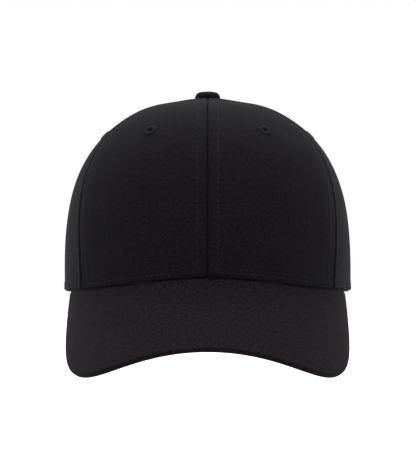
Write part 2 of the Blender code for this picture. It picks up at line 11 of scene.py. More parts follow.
import bmesh
import bpy
import numpy as np
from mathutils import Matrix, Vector


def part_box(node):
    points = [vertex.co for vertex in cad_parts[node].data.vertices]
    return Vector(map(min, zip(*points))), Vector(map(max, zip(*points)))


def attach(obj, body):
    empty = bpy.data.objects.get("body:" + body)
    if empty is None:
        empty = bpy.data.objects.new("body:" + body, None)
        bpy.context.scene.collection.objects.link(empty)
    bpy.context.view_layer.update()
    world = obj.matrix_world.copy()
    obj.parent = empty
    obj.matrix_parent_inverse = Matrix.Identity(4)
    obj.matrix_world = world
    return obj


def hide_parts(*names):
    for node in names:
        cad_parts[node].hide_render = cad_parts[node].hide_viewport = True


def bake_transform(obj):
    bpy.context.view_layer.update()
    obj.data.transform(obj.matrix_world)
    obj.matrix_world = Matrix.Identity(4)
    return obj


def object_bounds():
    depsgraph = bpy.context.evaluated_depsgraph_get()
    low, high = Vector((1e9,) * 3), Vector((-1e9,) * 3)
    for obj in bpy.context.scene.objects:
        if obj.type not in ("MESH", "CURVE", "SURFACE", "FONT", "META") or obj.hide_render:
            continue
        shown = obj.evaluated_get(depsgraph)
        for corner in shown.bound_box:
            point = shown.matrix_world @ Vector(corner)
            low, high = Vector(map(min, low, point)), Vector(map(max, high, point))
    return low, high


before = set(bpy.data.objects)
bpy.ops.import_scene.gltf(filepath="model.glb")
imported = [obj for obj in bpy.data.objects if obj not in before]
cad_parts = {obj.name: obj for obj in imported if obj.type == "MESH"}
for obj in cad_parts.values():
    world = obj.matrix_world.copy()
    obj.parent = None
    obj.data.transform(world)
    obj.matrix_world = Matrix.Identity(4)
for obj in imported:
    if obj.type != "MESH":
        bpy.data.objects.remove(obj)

CAD_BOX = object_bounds()
MM = 0.001
SIDES = (("left", 1), ("right", -1))

# The crown and the visor follow the same rules as their solids.
HALF_WIDTH = 87.85
FRONT_REACH, BACK_REACH = 100.0, 100.0
CROWN_HEIGHT = 118.0
SHOULDER, SIDE_RISE, FRONT_RISE, BACK_RISE = 2.2, 3.125, 4.0, 2.7
BASE_SQUARENESS, TOP_SQUARENESS, FRONT_SQUARENESS = 2.1, 2.2, 0.2
FRONT_EDGE_LIFT, FRONT_EDGE_SPAN = 7.0, 72.0
FRONT_SEAM_TURN, BACK_SEAM_TURN = 59.3, 120.0
FRONT_SEAM_LEAN, SEAM_LEAN_SHARES = 3.6, (0.1, 0.65)
TOP_HOLE_RADIUS = 2.5
OPENING_TURN, OPENING_HEIGHT = 34.2, 52.0
VISOR_TILT, VISOR_TOP_HEIGHT = 34.4, 9.0
ARCH_RADIUS, ARCH_TUCK, ARCH_TUCK_POWER = 105.6, 3.3, 24
VISOR_MAX_HALF_WIDTH, VISOR_LENGTH, VISOR_WIDEST_AT = 83.2, 65.0, -23.0
VISOR_BOW, VISOR_SWEEP = 0.36, 0.74
VISOR_TIP, VISOR_ROOT_HALF_WIDTH, VISOR_THICKNESS = (82.6, -44.0), 81.0, 3.4
BUCKRAM_DEPTH, FRONT_TAPE_DEPTH, BACK_TAPE_DEPTH = 1.0, 2.15, 1.2
TAPE_HALF_WIDTH, TAPE_TOP_RADIUS = 5.5, 6.6
BAND_DEPTH, BAND_THICKNESS, BAND_HEIGHT, BAND_END_TURN = 2.75, 2.6, 32.0, 144.8
BINDING_WIDTH, BINDING_FOOT_HEIGHT = 9.0, 19.0
EYELET_HEIGHT = 95.5
EYELET_TURNS = {"front": 29.2, "side": 90.0, "back": 150.0}
STRAP_BOTTOM, STRAP_TOP, STRAP_THICKNESS = 2.0, 17.0, 1.2
STRAP_DEPTH, INNER_STRAP_DEPTH = 1.15, 2.75
STRAP_TIP_TURN, TAB_END_TURN = -18.0, 41.0
SNAP_PITCH_TURN, FIRST_HOLE_TURN, HOLE_COUNT = 5.8, -15.0, 8
FIRST_PEG_TURN, PEG_COUNT = -20.8, 7
LABEL_TURNS, LABEL_HEIGHTS = (104.0, 118.0), (6.0, 27.0)

# Sewing
STITCH_PITCH, STITCH_LENGTH, STITCH_WIDTH = 3.4, 2.6, 0.5
STITCH_OFFSET = 6.0  # from a seam to the row beside it
HEM_OFFSET = 3.6  # from the crown's lower edge to the row above it
SEAM_DIP, SEAM_ROLL = 0.95, 0.7  # how deep and how wide a seam's valley is
FRONT_STAND = 0.9  # how far the stiffened front stands out beside its side seams
SEAM_SLIT = 0.45  # between the two folded edges
ALLOWANCE_RISE = 0.35  # what the cloth folded under a seam lifts the face by
SEAM_LIP = 0.3  # how much further it rises right beside the seam
SUNK = 0.2  # how far a tight row of stitches pulls the cloth in


# ---------------------------------------------------------------- crown and visor surfaces
def shoulder(height_share, rise):
    return (1 - height_share**rise) ** (1 / SHOULDER)


def profile_table():
    """Matching lists of share and height share, evenly walked along the side meridian."""
    angle = 0.5 * math.pi * np.linspace(0, 1, 3001) ** 2
    height_share = np.sin(angle) ** (2 / SIDE_RISE)
    reach = HALF_WIDTH * np.cos(angle) ** (2 / SHOULDER)
    steps = np.hypot(np.diff(reach), np.diff(height_share * CROWN_HEIGHT))
    walked = np.concatenate([[0], np.cumsum(steps)])
    return walked / walked[-1], height_share, walked[-1]


PROFILE_SHARES, PROFILE_HEIGHTS, MERIDIAN = profile_table()


def share_at(height):
    return np.interp(np.asarray(height) / CROWN_HEIGHT, PROFILE_HEIGHTS, PROFILE_SHARES)


def smooth(start, end, value):
    """0 before start, 1 after end, and an S-curve between."""
    x = np.clip((value - start) / (end - start), 0, 1)
    return x * x * (3 - 2 * x)


def bell(value, centre, width):
    """1 at the centre, falling to almost nothing at twice the width from it."""
    return np.exp(-(((value - centre) / width) ** 2))


def leaned(turn, share):
    beside = np.sin(np.pi * np.clip(turn / FRONT_SEAM_TURN, -2, 2) / 2)
    lean = FRONT_SEAM_LEAN * (2 * smooth(*SEAM_LEAN_SHARES, share) - 1)
    return turn + lean * beside * np.abs(beside)


def crown_point(turn, share):
    """Points on the crown's outer face, for arrays of turn in degrees and share."""
    turn, share = np.broadcast_arrays(turn, share)
    turn = np.radians(leaned(turn, share))
    height_share = np.interp(share, PROFILE_SHARES, PROFILE_HEIGHTS)
    is_front = np.cos(turn) > 0
    stiffened = 4 * FRONT_SQUARENESS * height_share * (1 - height_share)
    power = BASE_SQUARENESS + (TOP_SQUARENESS - BASE_SQUARENESS) * height_share
    power = power + stiffened * is_front
    reach = np.where(is_front, FRONT_REACH, BACK_REACH)
    reach = reach * shoulder(height_share, np.where(is_front, FRONT_RISE, BACK_RISE))
    across, along = np.abs(np.sin(turn)), np.abs(np.cos(turn))
    radius = (across**power + along**power) ** (-1 / power)
    x = HALF_WIDTH * shoulder(height_share, SIDE_RISE) * radius * np.sin(turn)
    return np.stack([x, -reach * radius * np.cos(turn), CROWN_HEIGHT * height_share], axis=-1)


def unit(vectors):
    return vectors / np.linalg.norm(vectors, axis=-1, keepdims=True)


def crown_normal(turn, share):
    step = 1e-4
    low = np.clip(share, step, 1 - 2 * step)
    across = crown_point(np.asarray(turn) + 0.1, low) - crown_point(np.asarray(turn) - 0.1, low)
    up = crown_point(turn, low + step) - crown_point(turn, low - step)
    return unit(np.cross(across, up))


def at_depth(turn, share, depth):
    return crown_point(turn, share) - crown_normal(turn, share) * np.asarray(depth)[..., None]


def ring_radius(share):
    return np.linalg.norm(crown_point(90.0, share)[..., :2], axis=-1)


def share_at_radius(radius):
    shares = np.linspace(0.5, 1, 2001)
    return float(np.interp(-radius, -ring_radius(shares), shares))


def edge_height(turn):
    """Height of the crown's lower edge, which rises over the visor and is level elsewhere."""
    point = crown_point(turn, 0.0)
    inside = np.clip(1 - (point[..., 0] / FRONT_EDGE_SPAN) ** 2, 0, 1)
    return np.where(point[..., 1] < 0, FRONT_EDGE_LIFT * inside**1.5, 0.0)


def opening_line(angle, margin=0.0):
    """(turn, share) on the rear opening's edge: angle is 0 at its foot and 90 at its top."""
    angle = np.radians(angle)
    half_turn = OPENING_TURN + np.degrees(margin / BACK_REACH)
    return 180 - half_turn * np.cos(angle), share_at(OPENING_HEIGHT + margin) * np.sin(angle)


def opening_round(angle, margin):
    """(turn, share) all along the rear opening's edge, foot to foot. angle climbs to its top."""
    turn, share = opening_line(angle, margin)
    return np.concatenate([turn, 360 - turn[-2::-1]]), np.concatenate([share, share[-2::-1]])


TILT = math.radians(VISOR_TILT)
VISOR_UP = np.array([0, -math.sin(TILT), math.cos(TILT)])
VISOR_OUT = np.array([0, -math.cos(TILT), -math.sin(TILT)])


def arch(x):
    """Drop of the visor's arch at x, and its slope there."""
    across = np.abs(x)
    ring = np.sqrt(ARCH_RADIUS**2 - across**2)
    tuck = ARCH_TUCK * (across / VISOR_MAX_HALF_WIDTH) ** ARCH_TUCK_POWER
    slope = across / ring + ARCH_TUCK_POWER * tuck / np.maximum(across, 1e-6)
    return -(ARCH_RADIUS - ring) - tuck, -np.sign(x) * slope


def lifted(x, lift):
    """Where a point of the arch at x lies when it is lifted off it: sideways and upwards."""
    drop, slope = arch(x)
    size = np.hypot(1, slope)
    return x - lift * slope / size, drop + lift / size


def visor_point(x, out, lift):
    """A point of the visor: x across, out along its slope from the crown, lift above its top face."""
    sideways, upwards = lifted(x, lift)
    origin = np.array([0, -FRONT_REACH, VISOR_TOP_HEIGHT])
    spot = origin + upwards[..., None] * VISOR_UP + np.asarray(out)[..., None] * VISOR_OUT
    return spot + sideways[..., None] * np.array([1.0, 0, 0])


def visor_root(x, lift, gap):
    """How far out a layer of the visor at this lift starts, at this gap from the crown's face."""
    sideways, upwards = lifted(x, lift)
    inside = np.clip(1 - (np.abs(sideways) / (HALF_WIDTH + gap)) ** BASE_SQUARENESS, 0, 1)
    wall = -(FRONT_REACH + gap) * inside ** (1 / BASE_SQUARENESS)
    return (-FRONT_REACH - upwards * math.sin(TILT) - wall) / math.cos(TILT)


def visor_outline(count):
    """(x, out) along the visor's free edge in equal steps, from its left tip to its right tip."""
    angle = np.radians(np.linspace(0, 180, 1441))
    bow = np.sign(np.cos(angle)) * np.abs(np.cos(angle)) ** VISOR_BOW
    widest = ARCH_RADIUS * math.asin(VISOR_MAX_HALF_WIDTH / ARCH_RADIUS)
    x = ARCH_RADIUS * np.sin(widest * bow / ARCH_RADIUS)
    out = VISOR_WIDEST_AT + (VISOR_LENGTH - VISOR_WIDEST_AT) * np.sin(angle) ** VISOR_SWEEP
    x = np.concatenate([[VISOR_TIP[0]], x, [-VISOR_TIP[0]]])
    out = np.concatenate([[VISOR_TIP[1]], out, [VISOR_TIP[1]]])
    return evenly(x, out, count)


def evenly(x, y, count):
    """The same line, walked in equal steps."""
    walked = np.concatenate([[0], np.cumsum(np.hypot(np.diff(x), np.diff(y)))])
    marks = np.linspace(0, walked[-1], count)
    return np.interp(marks, walked, x), np.interp(marks, walked, y)


def foot_height(turn):
    """Height at which the crown's face ends: on the visor's top in front, and 0 elsewhere."""
    x = np.linspace(-VISOR_ROOT_HALF_WIDTH, VISOR_ROOT_HALF_WIDTH, 401)
    line = visor_point(x, visor_root(x, 0.0, 0.0), np.zeros_like(x))
    point = crown_point(turn, 0.0)
    height = np.interp(point[..., 0], line[:, 0], line[:, 2], left=0.0, right=0.0)
    return np.where(point[..., 1] < 0, height, 0.0)


# ---------------------------------------------------------------- mesh helpers
def make_mesh(name, points, faces, uv=None):
    """An object from points in millimetres, with all its faces turned outwards."""
    mesh = bpy.data.meshes.new(name)
    mesh.from_pydata((np.asarray(points) * MM).tolist(), [], faces)
    if uv is not None:
        layer = mesh.uv_layers.new(name="weave")
        corner = np.zeros(len(mesh.loops), np.int32)
        mesh.loops.foreach_get("vertex_index", corner)
        layer.data.foreach_set("uv", (np.asarray(uv) * MM)[corner].astype(np.float32).ravel())
    shape = bmesh.new()
    shape.from_mesh(mesh)
    bmesh.ops.recalc_face_normals(shape, faces=shape.faces)
    shape.to_mesh(mesh)
    shape.free()
    mesh.shade_smooth()
    mesh.set_sharp_from_angle(angle=math.radians(50))
    made = bpy.data.objects.new(name, mesh)
    bpy.context.scene.collection.objects.link(made)
    return made


def finish_piece(made, material, nodes=(), body="cap"):
    """Gives a piece its material and its body, and hides the solids it stands for."""
    made.data.materials.clear()
    made.data.materials.append(material)
    if body:
        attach(made, body)
    if nodes:
        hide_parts(*nodes)
    return made


def grid_faces(columns, rows, start=0):
    first = start + np.arange(columns - 1)[:, None] * rows + np.arange(rows - 1)[None, :]
    first = first.ravel()
    return np.stack([first, first + rows, first + rows + 1, first + 1], 1).tolist()


def closed_faces(columns, rows):
    """Faces of a layer given as an outer and then an inner grid, with walls round its edges."""
    count = columns * rows
    faces = grid_faces(columns, rows)
    faces += [face[::-1] for face in grid_faces(columns, rows, count)]
    rim = [c * rows for c in range(columns)]
    rim += [(columns - 1) * rows + r for r in range(1, rows)]
    rim += [c * rows + rows - 1 for c in range(columns - 2, -1, -1)]
    rim += list(range(rows - 2, 0, -1))
    for here, there in zip(rim, rim[1:] + rim[:1], strict=True):
        faces.append([there, here, here + count, there + count])
    return faces


def tube_faces(columns, rows, start=0):
    """Faces round a closed section, with its two ends capped."""
    faces = []
    for c in range(columns - 1):
        for r in range(rows):
            a, b = start + c * rows + r, start + c * rows + (r + 1) % rows
            faces.append([a, b, b + rows, a + rows])
    faces.append([start + r for r in reversed(range(rows))])
    faces.append([start + (columns - 1) * rows + r for r in range(rows)])
    return faces


def ring_faces(columns, rows):
    """Faces of a closed section that is carried all the way round."""
    faces = []
    for c in range(columns):
        here, there = c * rows, (c + 1) % columns * rows
        for r in range(rows):
            after = (r + 1) % rows
            faces.append([here + r, there + r, there + after, here + after])
    return faces


def spokes(axis, count):
    """Unit vectors in equal steps round an axis."""
    angle = 2 * np.pi * np.arange(count) / count
    first = unit(np.cross(axis, (0.0, 0.0, 1.0)))
    second = np.cross(axis, first)
    return np.cos(angle)[:, None] * first + np.sin(angle)[:, None] * second


def mirrored(grid, side):
    return grid * np.array([side, 1, 1])


def lengths_along(grid, axis):
    """Distance walked along one axis of a grid of points."""
    steps = np.linalg.norm(np.diff(grid, axis=axis), axis=-1)
    start = np.zeros_like(np.take(steps, [0], axis=axis))
    return np.concatenate([start, np.cumsum(steps, axis=axis)], axis=axis)


def weave_uv(grid):
    """Cloth coordinates: across from the middle column, and up along the columns."""
    across = lengths_along(grid, 0)
    across = across - across[len(across) // 2]
    return np.stack([across, lengths_along(grid, 1)], -1)


def make_layer(name, outer, inner, uv=None):
    """A closed layer of cloth between two grids of points."""
    columns, rows = outer.shape[:2]
    uv = weave_uv(outer) if uv is None else uv
    points = np.concatenate([outer.reshape(-1, 3), inner.reshape(-1, 3)])
    uvs = np.concatenate([uv.reshape(-1, 2)] * 2)
    return make_mesh(name, points, closed_faces(columns, rows), uvs)


def declare_cloth(grid, turned_in=0.0):
    """Works out how large the layer's flat cut is (its widest row, its longest column and its area) but
    keeps none of them.

    turned_in is the width that its two long edges lose where they are folded under.
    """
    width = (lengths_along(grid, 0)[-1].max() + turned_in) * MM
    length = lengths_along(grid, 1)[:, -1].max() * MM
    one = np.cross(grid[1:, :-1] - grid[:-1, :-1], grid[:-1, 1:] - grid[:-1, :-1])
    two = np.cross(grid[1:, :-1] - grid[1:, 1:], grid[:-1, 1:] - grid[1:, 1:])
    area = (np.linalg.norm(one, axis=-1).sum() + np.linalg.norm(two, axis=-1).sum()) / 2 * MM**2
    area = min(area + turned_in * MM * length, width * length)


def waves(points, length, seed):
    """Gentle irregular unevenness, between about -1 and 1, with this wavelength."""
    draw = np.random.default_rng(seed)
    total = np.zeros(points.shape[:-1])
    count = 7
    for _ in range(count):
        way = unit(draw.normal(size=3)) * 2 * np.pi / (length * draw.uniform(0.7, 1.5))
        total += np.sin(points @ way + draw.uniform(0, 2 * np.pi))
    return total / count * 1.6


def packed_near_ends(near, middle):
    """Shares from 0 to 1, close together at both ends. near is a rising list from 0."""
    near = np.asarray(near)
    inside = np.linspace(near[-1], 1 - near[-1], middle + 2)[1:-1]
    return np.concatenate([near, inside, 1 - near[::-1]])


# ---------------------------------------------------------------- stitches
def stitch_row(points, normals, pitch=STITCH_PITCH, length=STITCH_LENGTH, width=STITCH_WIDTH):
    """Points and faces of one row of thread, a short arched bead for each stitch along a line."""
    walked = np.concatenate([[0], np.cumsum(np.linalg.norm(np.diff(points, axis=0), axis=1))])
    count = max(int(walked[-1] / pitch), 1)
    middles = (np.arange(count) + 0.5) * walked[-1] / count
    along = np.array([-0.5, -0.44, -0.3, 0.0, 0.3, 0.44, 0.5]) * length
    lift = np.array([-0.6, -0.25, 0.1, 0.2, 0.1, -0.25, -0.6]) * width
    half = np.array([0.35, 0.8, 1.0, 1.05, 1.0, 0.8, 0.35]) * width / 2
    marks = middles[:, None] + along[None, :]
    spot = np.stack([np.interp(marks, walked, points[:, i]) for i in range(3)], -1)
    normal = unit(np.stack([np.interp(marks, walked, normals[:, i]) for i in range(3)], -1))
    ahead = unit(spot[:, -1] - spot[:, 0])[:, None, :]
    aside = unit(np.cross(normal, ahead))
    spot = spot + normal * lift[None, :, None]
    sides = 6
    angle = 2 * np.pi * np.arange(sides) / sides
    ring = (
        aside[:, :, None, :] * np.cos(angle)[None, None, :, None]
        + normal[:, :, None, :] * np.sin(angle)[None, None, :, None] * 0.7
    )
    verts = spot[:, :, None, :] + ring * half[None, :, None, None]
    faces = []
    for n in range(count):
        faces += tube_faces(len(along), sides, n * len(along) * sides)
    return verts.reshape(-1, 3), faces


def make_stitches(name, rows, material, **shape):
    """One object with the stitches of several rows, each given as (points, normals)."""
    points, faces = [], []
    for line, normals in rows:
        row_points, row_faces = stitch_row(line, normals, **shape)
        start = sum(len(p) for p in points)
        points.append(row_points)
        faces += [[start + i for i in face] for face in row_faces]
    made = make_mesh(name, np.concatenate(points), faces)
    finish_piece(made, material)


def top_dip(radius):
    """How far the crown's face is drawn down round its button."""
    return 1.1 * bell(radius, 22.0, 13.0)


def crown_row(turn, share, depth, side=1, way=1):
    """A row's line at a depth under the crown's face, and normals: outwards, or inwards if way is -1."""
    depth = depth + top_dip(ring_radius(share)) + 0 * turn
    points, normals = at_depth(turn, share, depth), crown_normal(turn, share) * way
    return mirrored(points, side), mirrored(normals, side)


# ---------------------------------------------------------------- crown panels
NEAR_SEAM = [0, 0.002, 0.0045, 0.0075, 0.0115, 0.0165, 0.023, 0.031, 0.041, 0.052, 0.061]
NEAR_SEAM += [0.067, 0.0725, 0.078, 0.085, 0.093, 0.103]
PANEL_MIDDLE, PANEL_ROWS = 22, 150
PANEL_TURNS = {
    "front": (0.0, FRONT_SEAM_TURN),
    "side": (FRONT_SEAM_TURN, BACK_SEAM_TURN),
    "back": (BACK_SEAM_TURN, 180.0),
}
SIDE_SEAMS = {"front": FRONT_SEAM_TURN, "back": BACK_SEAM_TURN}
FOOT_ROWS = [0.0, 0.25, 0.5, 0.8, 1.2, 1.7, 2.2, 2.7, 3.2, 3.6, 4.0, 4.5, 5.2, 6.2]


def seam_relief(gap, along, radius):
    """Height of the cloth's face near a seam: gap is the distance from it, along the way up it."""
    valley = -SEAM_DIP * (0.4 + 0.6 * smooth(6.5, 11.0, radius)) * np.exp(-((gap / SEAM_ROLL) ** 1.6))
    allowance = ALLOWANCE_RISE * (1 - smooth(STITCH_OFFSET + 0.4, STITCH_OFFSET + 2.2, gap))
    beside_row = bell(gap, STITCH_OFFSET, 0.8)
    pulled = -SUNK * beside_row * (1 + 0.45 * np.cos(2 * np.pi * along / STITCH_PITCH))
    lip = SEAM_LIP * bell(gap, 1.9, 1.1)
    return valley + allowance + lip + pulled


def foot_relief(rise, along, fold_depth=1.4, fold_height=0.6):
    """Height of the face near the crown's lower edge, rise above it."""
    above = np.maximum(rise, 0)
    fold = -fold_depth * np.exp(-((above / fold_height) ** 2))
    roll = 0.38 * (1 - smooth(HEM_OFFSET + 0.5, HEM_OFFSET + 3.0, above))
    row = bell(above, HEM_OFFSET, 0.75)
    return fold + roll - SUNK * row * (1 + 0.45 * np.cos(2 * np.pi * along / STITCH_PITCH))


def opening_gap(turn, share):
    """Distance from the rear opening's edge, and the distance walked along it."""
    across = (180 - np.abs(turn)) / OPENING_TURN
    up = share / share_at(OPENING_HEIGHT)
    size = np.hypot(across, up)
    wide, high = math.radians(OPENING_TURN) * BACK_REACH, share_at(OPENING_HEIGHT) * MERIDIAN
    slope = np.hypot(across / wide, up / high) / np.maximum(size, 1e-6)
    return (size - 1) / slope, np.arctan2(up, across) * (wide + high) / 2


def panel_face(turn, share, first, last, along, side, opening):
    """The outer face of a panel with all its sewing, and how deep its inner face lies."""
    radius = ring_radius(share)
    gap = np.minimum(np.radians(turn - first), np.radians(last - turn)) * radius
    gap = np.maximum(gap, 0)
    smoothly = crown_point(turn, share)
    relief = seam_relief(gap, along, radius)
    foot = foot_height(turn)
    rise = (share - share_at(foot)) * MERIDIAN
    hem_walk = np.radians(turn) * radius
    away = np.ones_like(gap)
    if opening:
        hole_gap, hole_walk = opening_gap(turn, share)
        hole_gap = np.maximum(hole_gap, 0)
        relief = relief + foot_relief(hole_gap, hole_walk) * (1 - bell(gap, 0, 1.0))
        relief = relief - 0.18 * bell(hole_gap, BINDING_WIDTH - 1.0, 0.8)
        away = smooth(0.0, 4.0, hole_gap)
    fold_depth = 1.4 + 0.9 * smooth(125.0, 105.0, np.abs(hem_walk))
    fold_height = 0.62 + 1.0 * bell(hem_walk, 0, 5.5)
    relief = relief + foot_relief(rise, hem_walk, fold_depth, fold_height) * away
    spot = mirrored(smoothly, side)
    puckers = bell(gap, 3.0, 4.5) * 0.07 * waves(spot * (0.25, 0.25, 1), 7.0, int(first))
    hem_puckers = bell(rise, 3.0, 5.0) * 0.07 * waves(spot * (1, 1, 0.2), 8.0, int(last))
    sway = 0.16 * waves(spot, 42.0, 5) * smooth(4.0, 16.0, gap)
    relief = relief + puckers + hem_puckers + sway
    if last == FRONT_SEAM_TURN:
        from_side = np.radians(last - turn) * radius
        stood = smooth(0.03, 0.2, share) * (1 - smooth(0.6, 0.85, share))
        relief = relief + FRONT_STAND * bell(from_side, 9.0, 7.0) * stood
    normal = crown_normal(turn, share)
    drawn_down = top_dip(radius)
    outer = smoothly + normal * (relief - drawn_down)[..., None]
    folded_foot = np.exp(-((np.maximum(rise, 0) / (fold_height + 0.2)) ** 2))
    depth = 0.62 + 0.46 * np.exp(-((gap / 0.9) ** 2)) + (fold_depth - 0.45) * folded_foot
    return outer, smoothly - normal * (depth + drawn_down)[..., None]


def panel_places(lower_turn, lower_share, first, last, up):
    """(turn, share) of a panel's grid, from its lower line to the ring under the button."""
    top = share_at_radius(TOP_HOLE_RADIUS)
    across = packed_near_ends(NEAR_SEAM, PANEL_MIDDLE)
    top_turn = first + (last - first) * across
    turn = lower_turn[:, None] + (top_turn - lower_turn)[:, None] * up[None, :]
    share = lower_share[:, None] + (top - lower_share)[:, None] * up[None, :]
    radius = ring_radius(share)
    above_foot = (share - lower_share[:, None]) * MERIDIAN
    open_part = smooth(24.0, 40.0, radius) * smooth(0.5, 5.0, above_foot)
    slit = np.degrees(SEAM_SLIT * open_part / 2 / radius)
    turn = first + slit + (turn - first) * (last - first - 2 * slit) / (last - first)
    return turn, share


def rows_up():
    """Shares of the way up a panel, close together at its foot."""
    near = np.array(FOOT_ROWS) / MERIDIAN
    return np.concatenate([near, np.linspace(near[-1], 1, PANEL_ROWS + 1)[1:]])


def make_panel(name, first, last, side, material, opening=False):
    across = packed_near_ends(NEAR_SEAM, PANEL_MIDDLE)
    if opening:
        corner = 0.42
        climb = np.clip((across - corner) / (1 - corner), 0, 1)
        arch_turn, arch_share = opening_line(90 * climb)
        foot_turn = 180 - OPENING_TURN
        rim_turn = first + (foot_turn - first) * across / corner
        on_rim = across <= corner
        lower_turn = np.where(on_rim, rim_turn, arch_turn)
        lower_share = np.where(on_rim, 0.0, arch_share)
    else:
        lower_turn = first + (last - first) * across
        foot = foot_height(lower_turn)
        under = smooth(0.0, 1.5, foot)
        lower_share = np.maximum(share_at(foot) - under / MERIDIAN, 0)
    turn, share = panel_places(lower_turn, lower_share, first, last, rows_up())
    along = lengths_along(crown_point(turn, share), 1)
    faces = panel_face(turn, share, first, last, along, side, opening)
    outer, inner = (mirrored(face, side) for face in faces)
    made = make_layer(f"cloth_{name}", outer, inner)
    return finish_piece(made, material, (name,)), outer


def cut_round_hole(made, place, axis, radius, reach=8.0):
    """Cuts a piece away inside a cylinder, reach long."""
    bpy.ops.mesh.primitive_cylinder_add(vertices=32, radius=radius * MM, depth=reach * MM)
    cutter = bpy.context.active_object
    cutter.location = Vector(place * MM)
    cutter.rotation_euler = Vector(axis).to_track_quat("Z", "Y").to_euler()
    step = made.modifiers.new("hole", "BOOLEAN")
    step.operation = "DIFFERENCE"
    step.solver = "EXACT"
    step.object = cutter
    shown = made.evaluated_get(bpy.context.evaluated_depsgraph_get())
    mesh = bpy.data.meshes.new_from_object(shown)
    made.modifiers.clear()
    made.data = mesh
    bpy.data.objects.remove(cutter)


def eyelet_place(row, side):
    turn, share = EYELET_TURNS[row], share_at(EYELET_HEIGHT)
    place = mirrored(crown_point(turn, share), side)
    return place, mirrored(crown_normal(turn, share), side)


def make_eyelet(row, side_name, side, material):
    """Satin stitches all round a hole: a ring with a ridge for each stitch and a ragged rim."""
    place, axis = eyelet_place(row, side)
    threads, steps = 44, 5
    draw = np.random.default_rng(len(row) * 10 + side)
    angle = 2 * np.pi * np.arange(threads * steps) / (threads * steps)
    ridge = np.abs(np.sin(threads * angle / 2))
    reach = np.repeat(draw.normal(0, 0.09, threads), steps)
    back = -(BUCKRAM_DEPTH + 0.6 if row == "front" else 0.7) - 0.25
    profile = [(1.2, back - 0.3), (1.25, -0.6), (1.45, 0.25), (1.75, 0.62), (2.2, 0.82)]
    profile += [(2.7, 0.86), (3.2, 0.74), (3.6, 0.5), (3.85, 0.2), (3.9, -0.25)]
    profile += [(3.0, -0.5), (1.9, -0.6), (1.95, back + 0.1), (3.3, back), (3.55, back - 0.2)]
    profile += [(3.1, back - 0.5), (2.3, back - 0.62), (1.6, back - 0.55)]
    out = spokes(axis, len(angle))
    lines = []
    for radius, height in profile:
        ridged = 0.14 * ridge * (height > 0) - 0.12 * ridge * (height < back)
        far = radius + reach * smooth(2.5, 3.9, radius) * (height > -0.3)
        lines.append(place + out * far[:, None] + axis * (height + ridged)[:, None])
    points = np.stack(lines, 1).reshape(-1, 3)
    faces = ring_faces(len(angle), len(profile))
    made = make_mesh(f"embroidery_{row}_{side_name}", points, faces)
    finish_piece(made, material, (f"eyelet_{row}_{side_name}",))


def seam_rows(turn, lowest, side=1):
    """The two rows beside a seam, from just above the hem row to the button."""
    share = np.linspace(lowest, share_at_radius(8.0), 300)
    away = np.degrees(STITCH_OFFSET / ring_radius(share))
    half_panel = 26.0  # half the angle between two seams, less a little
    rows = []
    for way in (-1, 1):
        turns = turn + way * np.minimum(away, half_panel)
        rows.append(crown_row(turns, share, SUNK - ALLOWANCE_RISE, side))
    return rows


def make_crown(twill, thread):
    for side_name, side in SIDES:
        for row, (first, last) in PANEL_TURNS.items():
            panel, grid = make_panel(
                f"{row}_panel_{side_name}", first, last, side, twill, opening=row == "back"
            )
            cut_round_hole(panel, *eyelet_place(row, side), 1.6)
            make_eyelet(row, side_name, side, thread)
            declare_cloth(grid)
        for row, turn in SIDE_SEAMS.items():
            rows = seam_rows(turn, share_at(7.5), side)
            make_stitches(f"topstitch_{row}_{side_name}", rows, thread)
    make_stitches("topstitch_front", seam_rows(0.0, share_at(14.5)), thread)
    make_stitches("topstitch_rear", seam_rows(180.0, share_at(OPENING_HEIGHT + 10)), thread)
    foot_turn = 180 - OPENING_TURN - 0.8
    turn = np.linspace(-foot_turn, foot_turn, 900)
    share = share_at(foot_height(turn)) + HEM_OFFSET / MERIDIAN
    make_stitches("topstitch_hem", [crown_row(turn, share, -0.2)], thread)
    rows = []
    for margin in (HEM_OFFSET - 0.6, BINDING_WIDTH - 1.0):
        turn, share = opening_round(np.linspace(4, 90, 200), margin)
        rows.append(crown_row(turn, share, -0.12))
    make_stitches("topstitch_opening", rows, thread)


# ---------------------------------------------------------------- inside of the crown
def inner_layer(name, turn, share, depth, thickness, side=1):
    """A layer inside the crown from a depth inwards, and the grid of its face towards the head."""
    depth = depth + top_dip(ring_radius(share))
    outer = mirrored(at_depth(turn, share, depth), side)
    inner = mirrored(at_depth(turn, share, depth + thickness), side)
    return make_layer(name, outer, inner), inner


def make_buckram(side_name, side, material):
    """Stiff open mesh behind a front panel, with the panel's eyelet through it."""
    across = np.linspace(0, 1, 45)[:, None]
    lower = share_at(edge_height(FRONT_SEAM_TURN * across) + 1.5)
    share = lower + (share_at_radius(14.0) - lower) * np.linspace(0, 1, 80)
    inset = np.degrees(1.2 / ring_radius(share))
    turn = inset + (FRONT_SEAM_TURN - 2 * inset) * across
    sway = 0.1 * waves(crown_point(turn, share), 30.0, 31)
    made, grid = inner_layer(
        f"mesh_front_buckram_{side_name}", turn, share, BUCKRAM_DEPTH + sway, 0.5, side
    )
    cut_round_hole(made, *eyelet_place("front", side), 2.2)
    finish_piece(made, material, (f"front_buckram_{side_name}",))
    declare_cloth(grid)


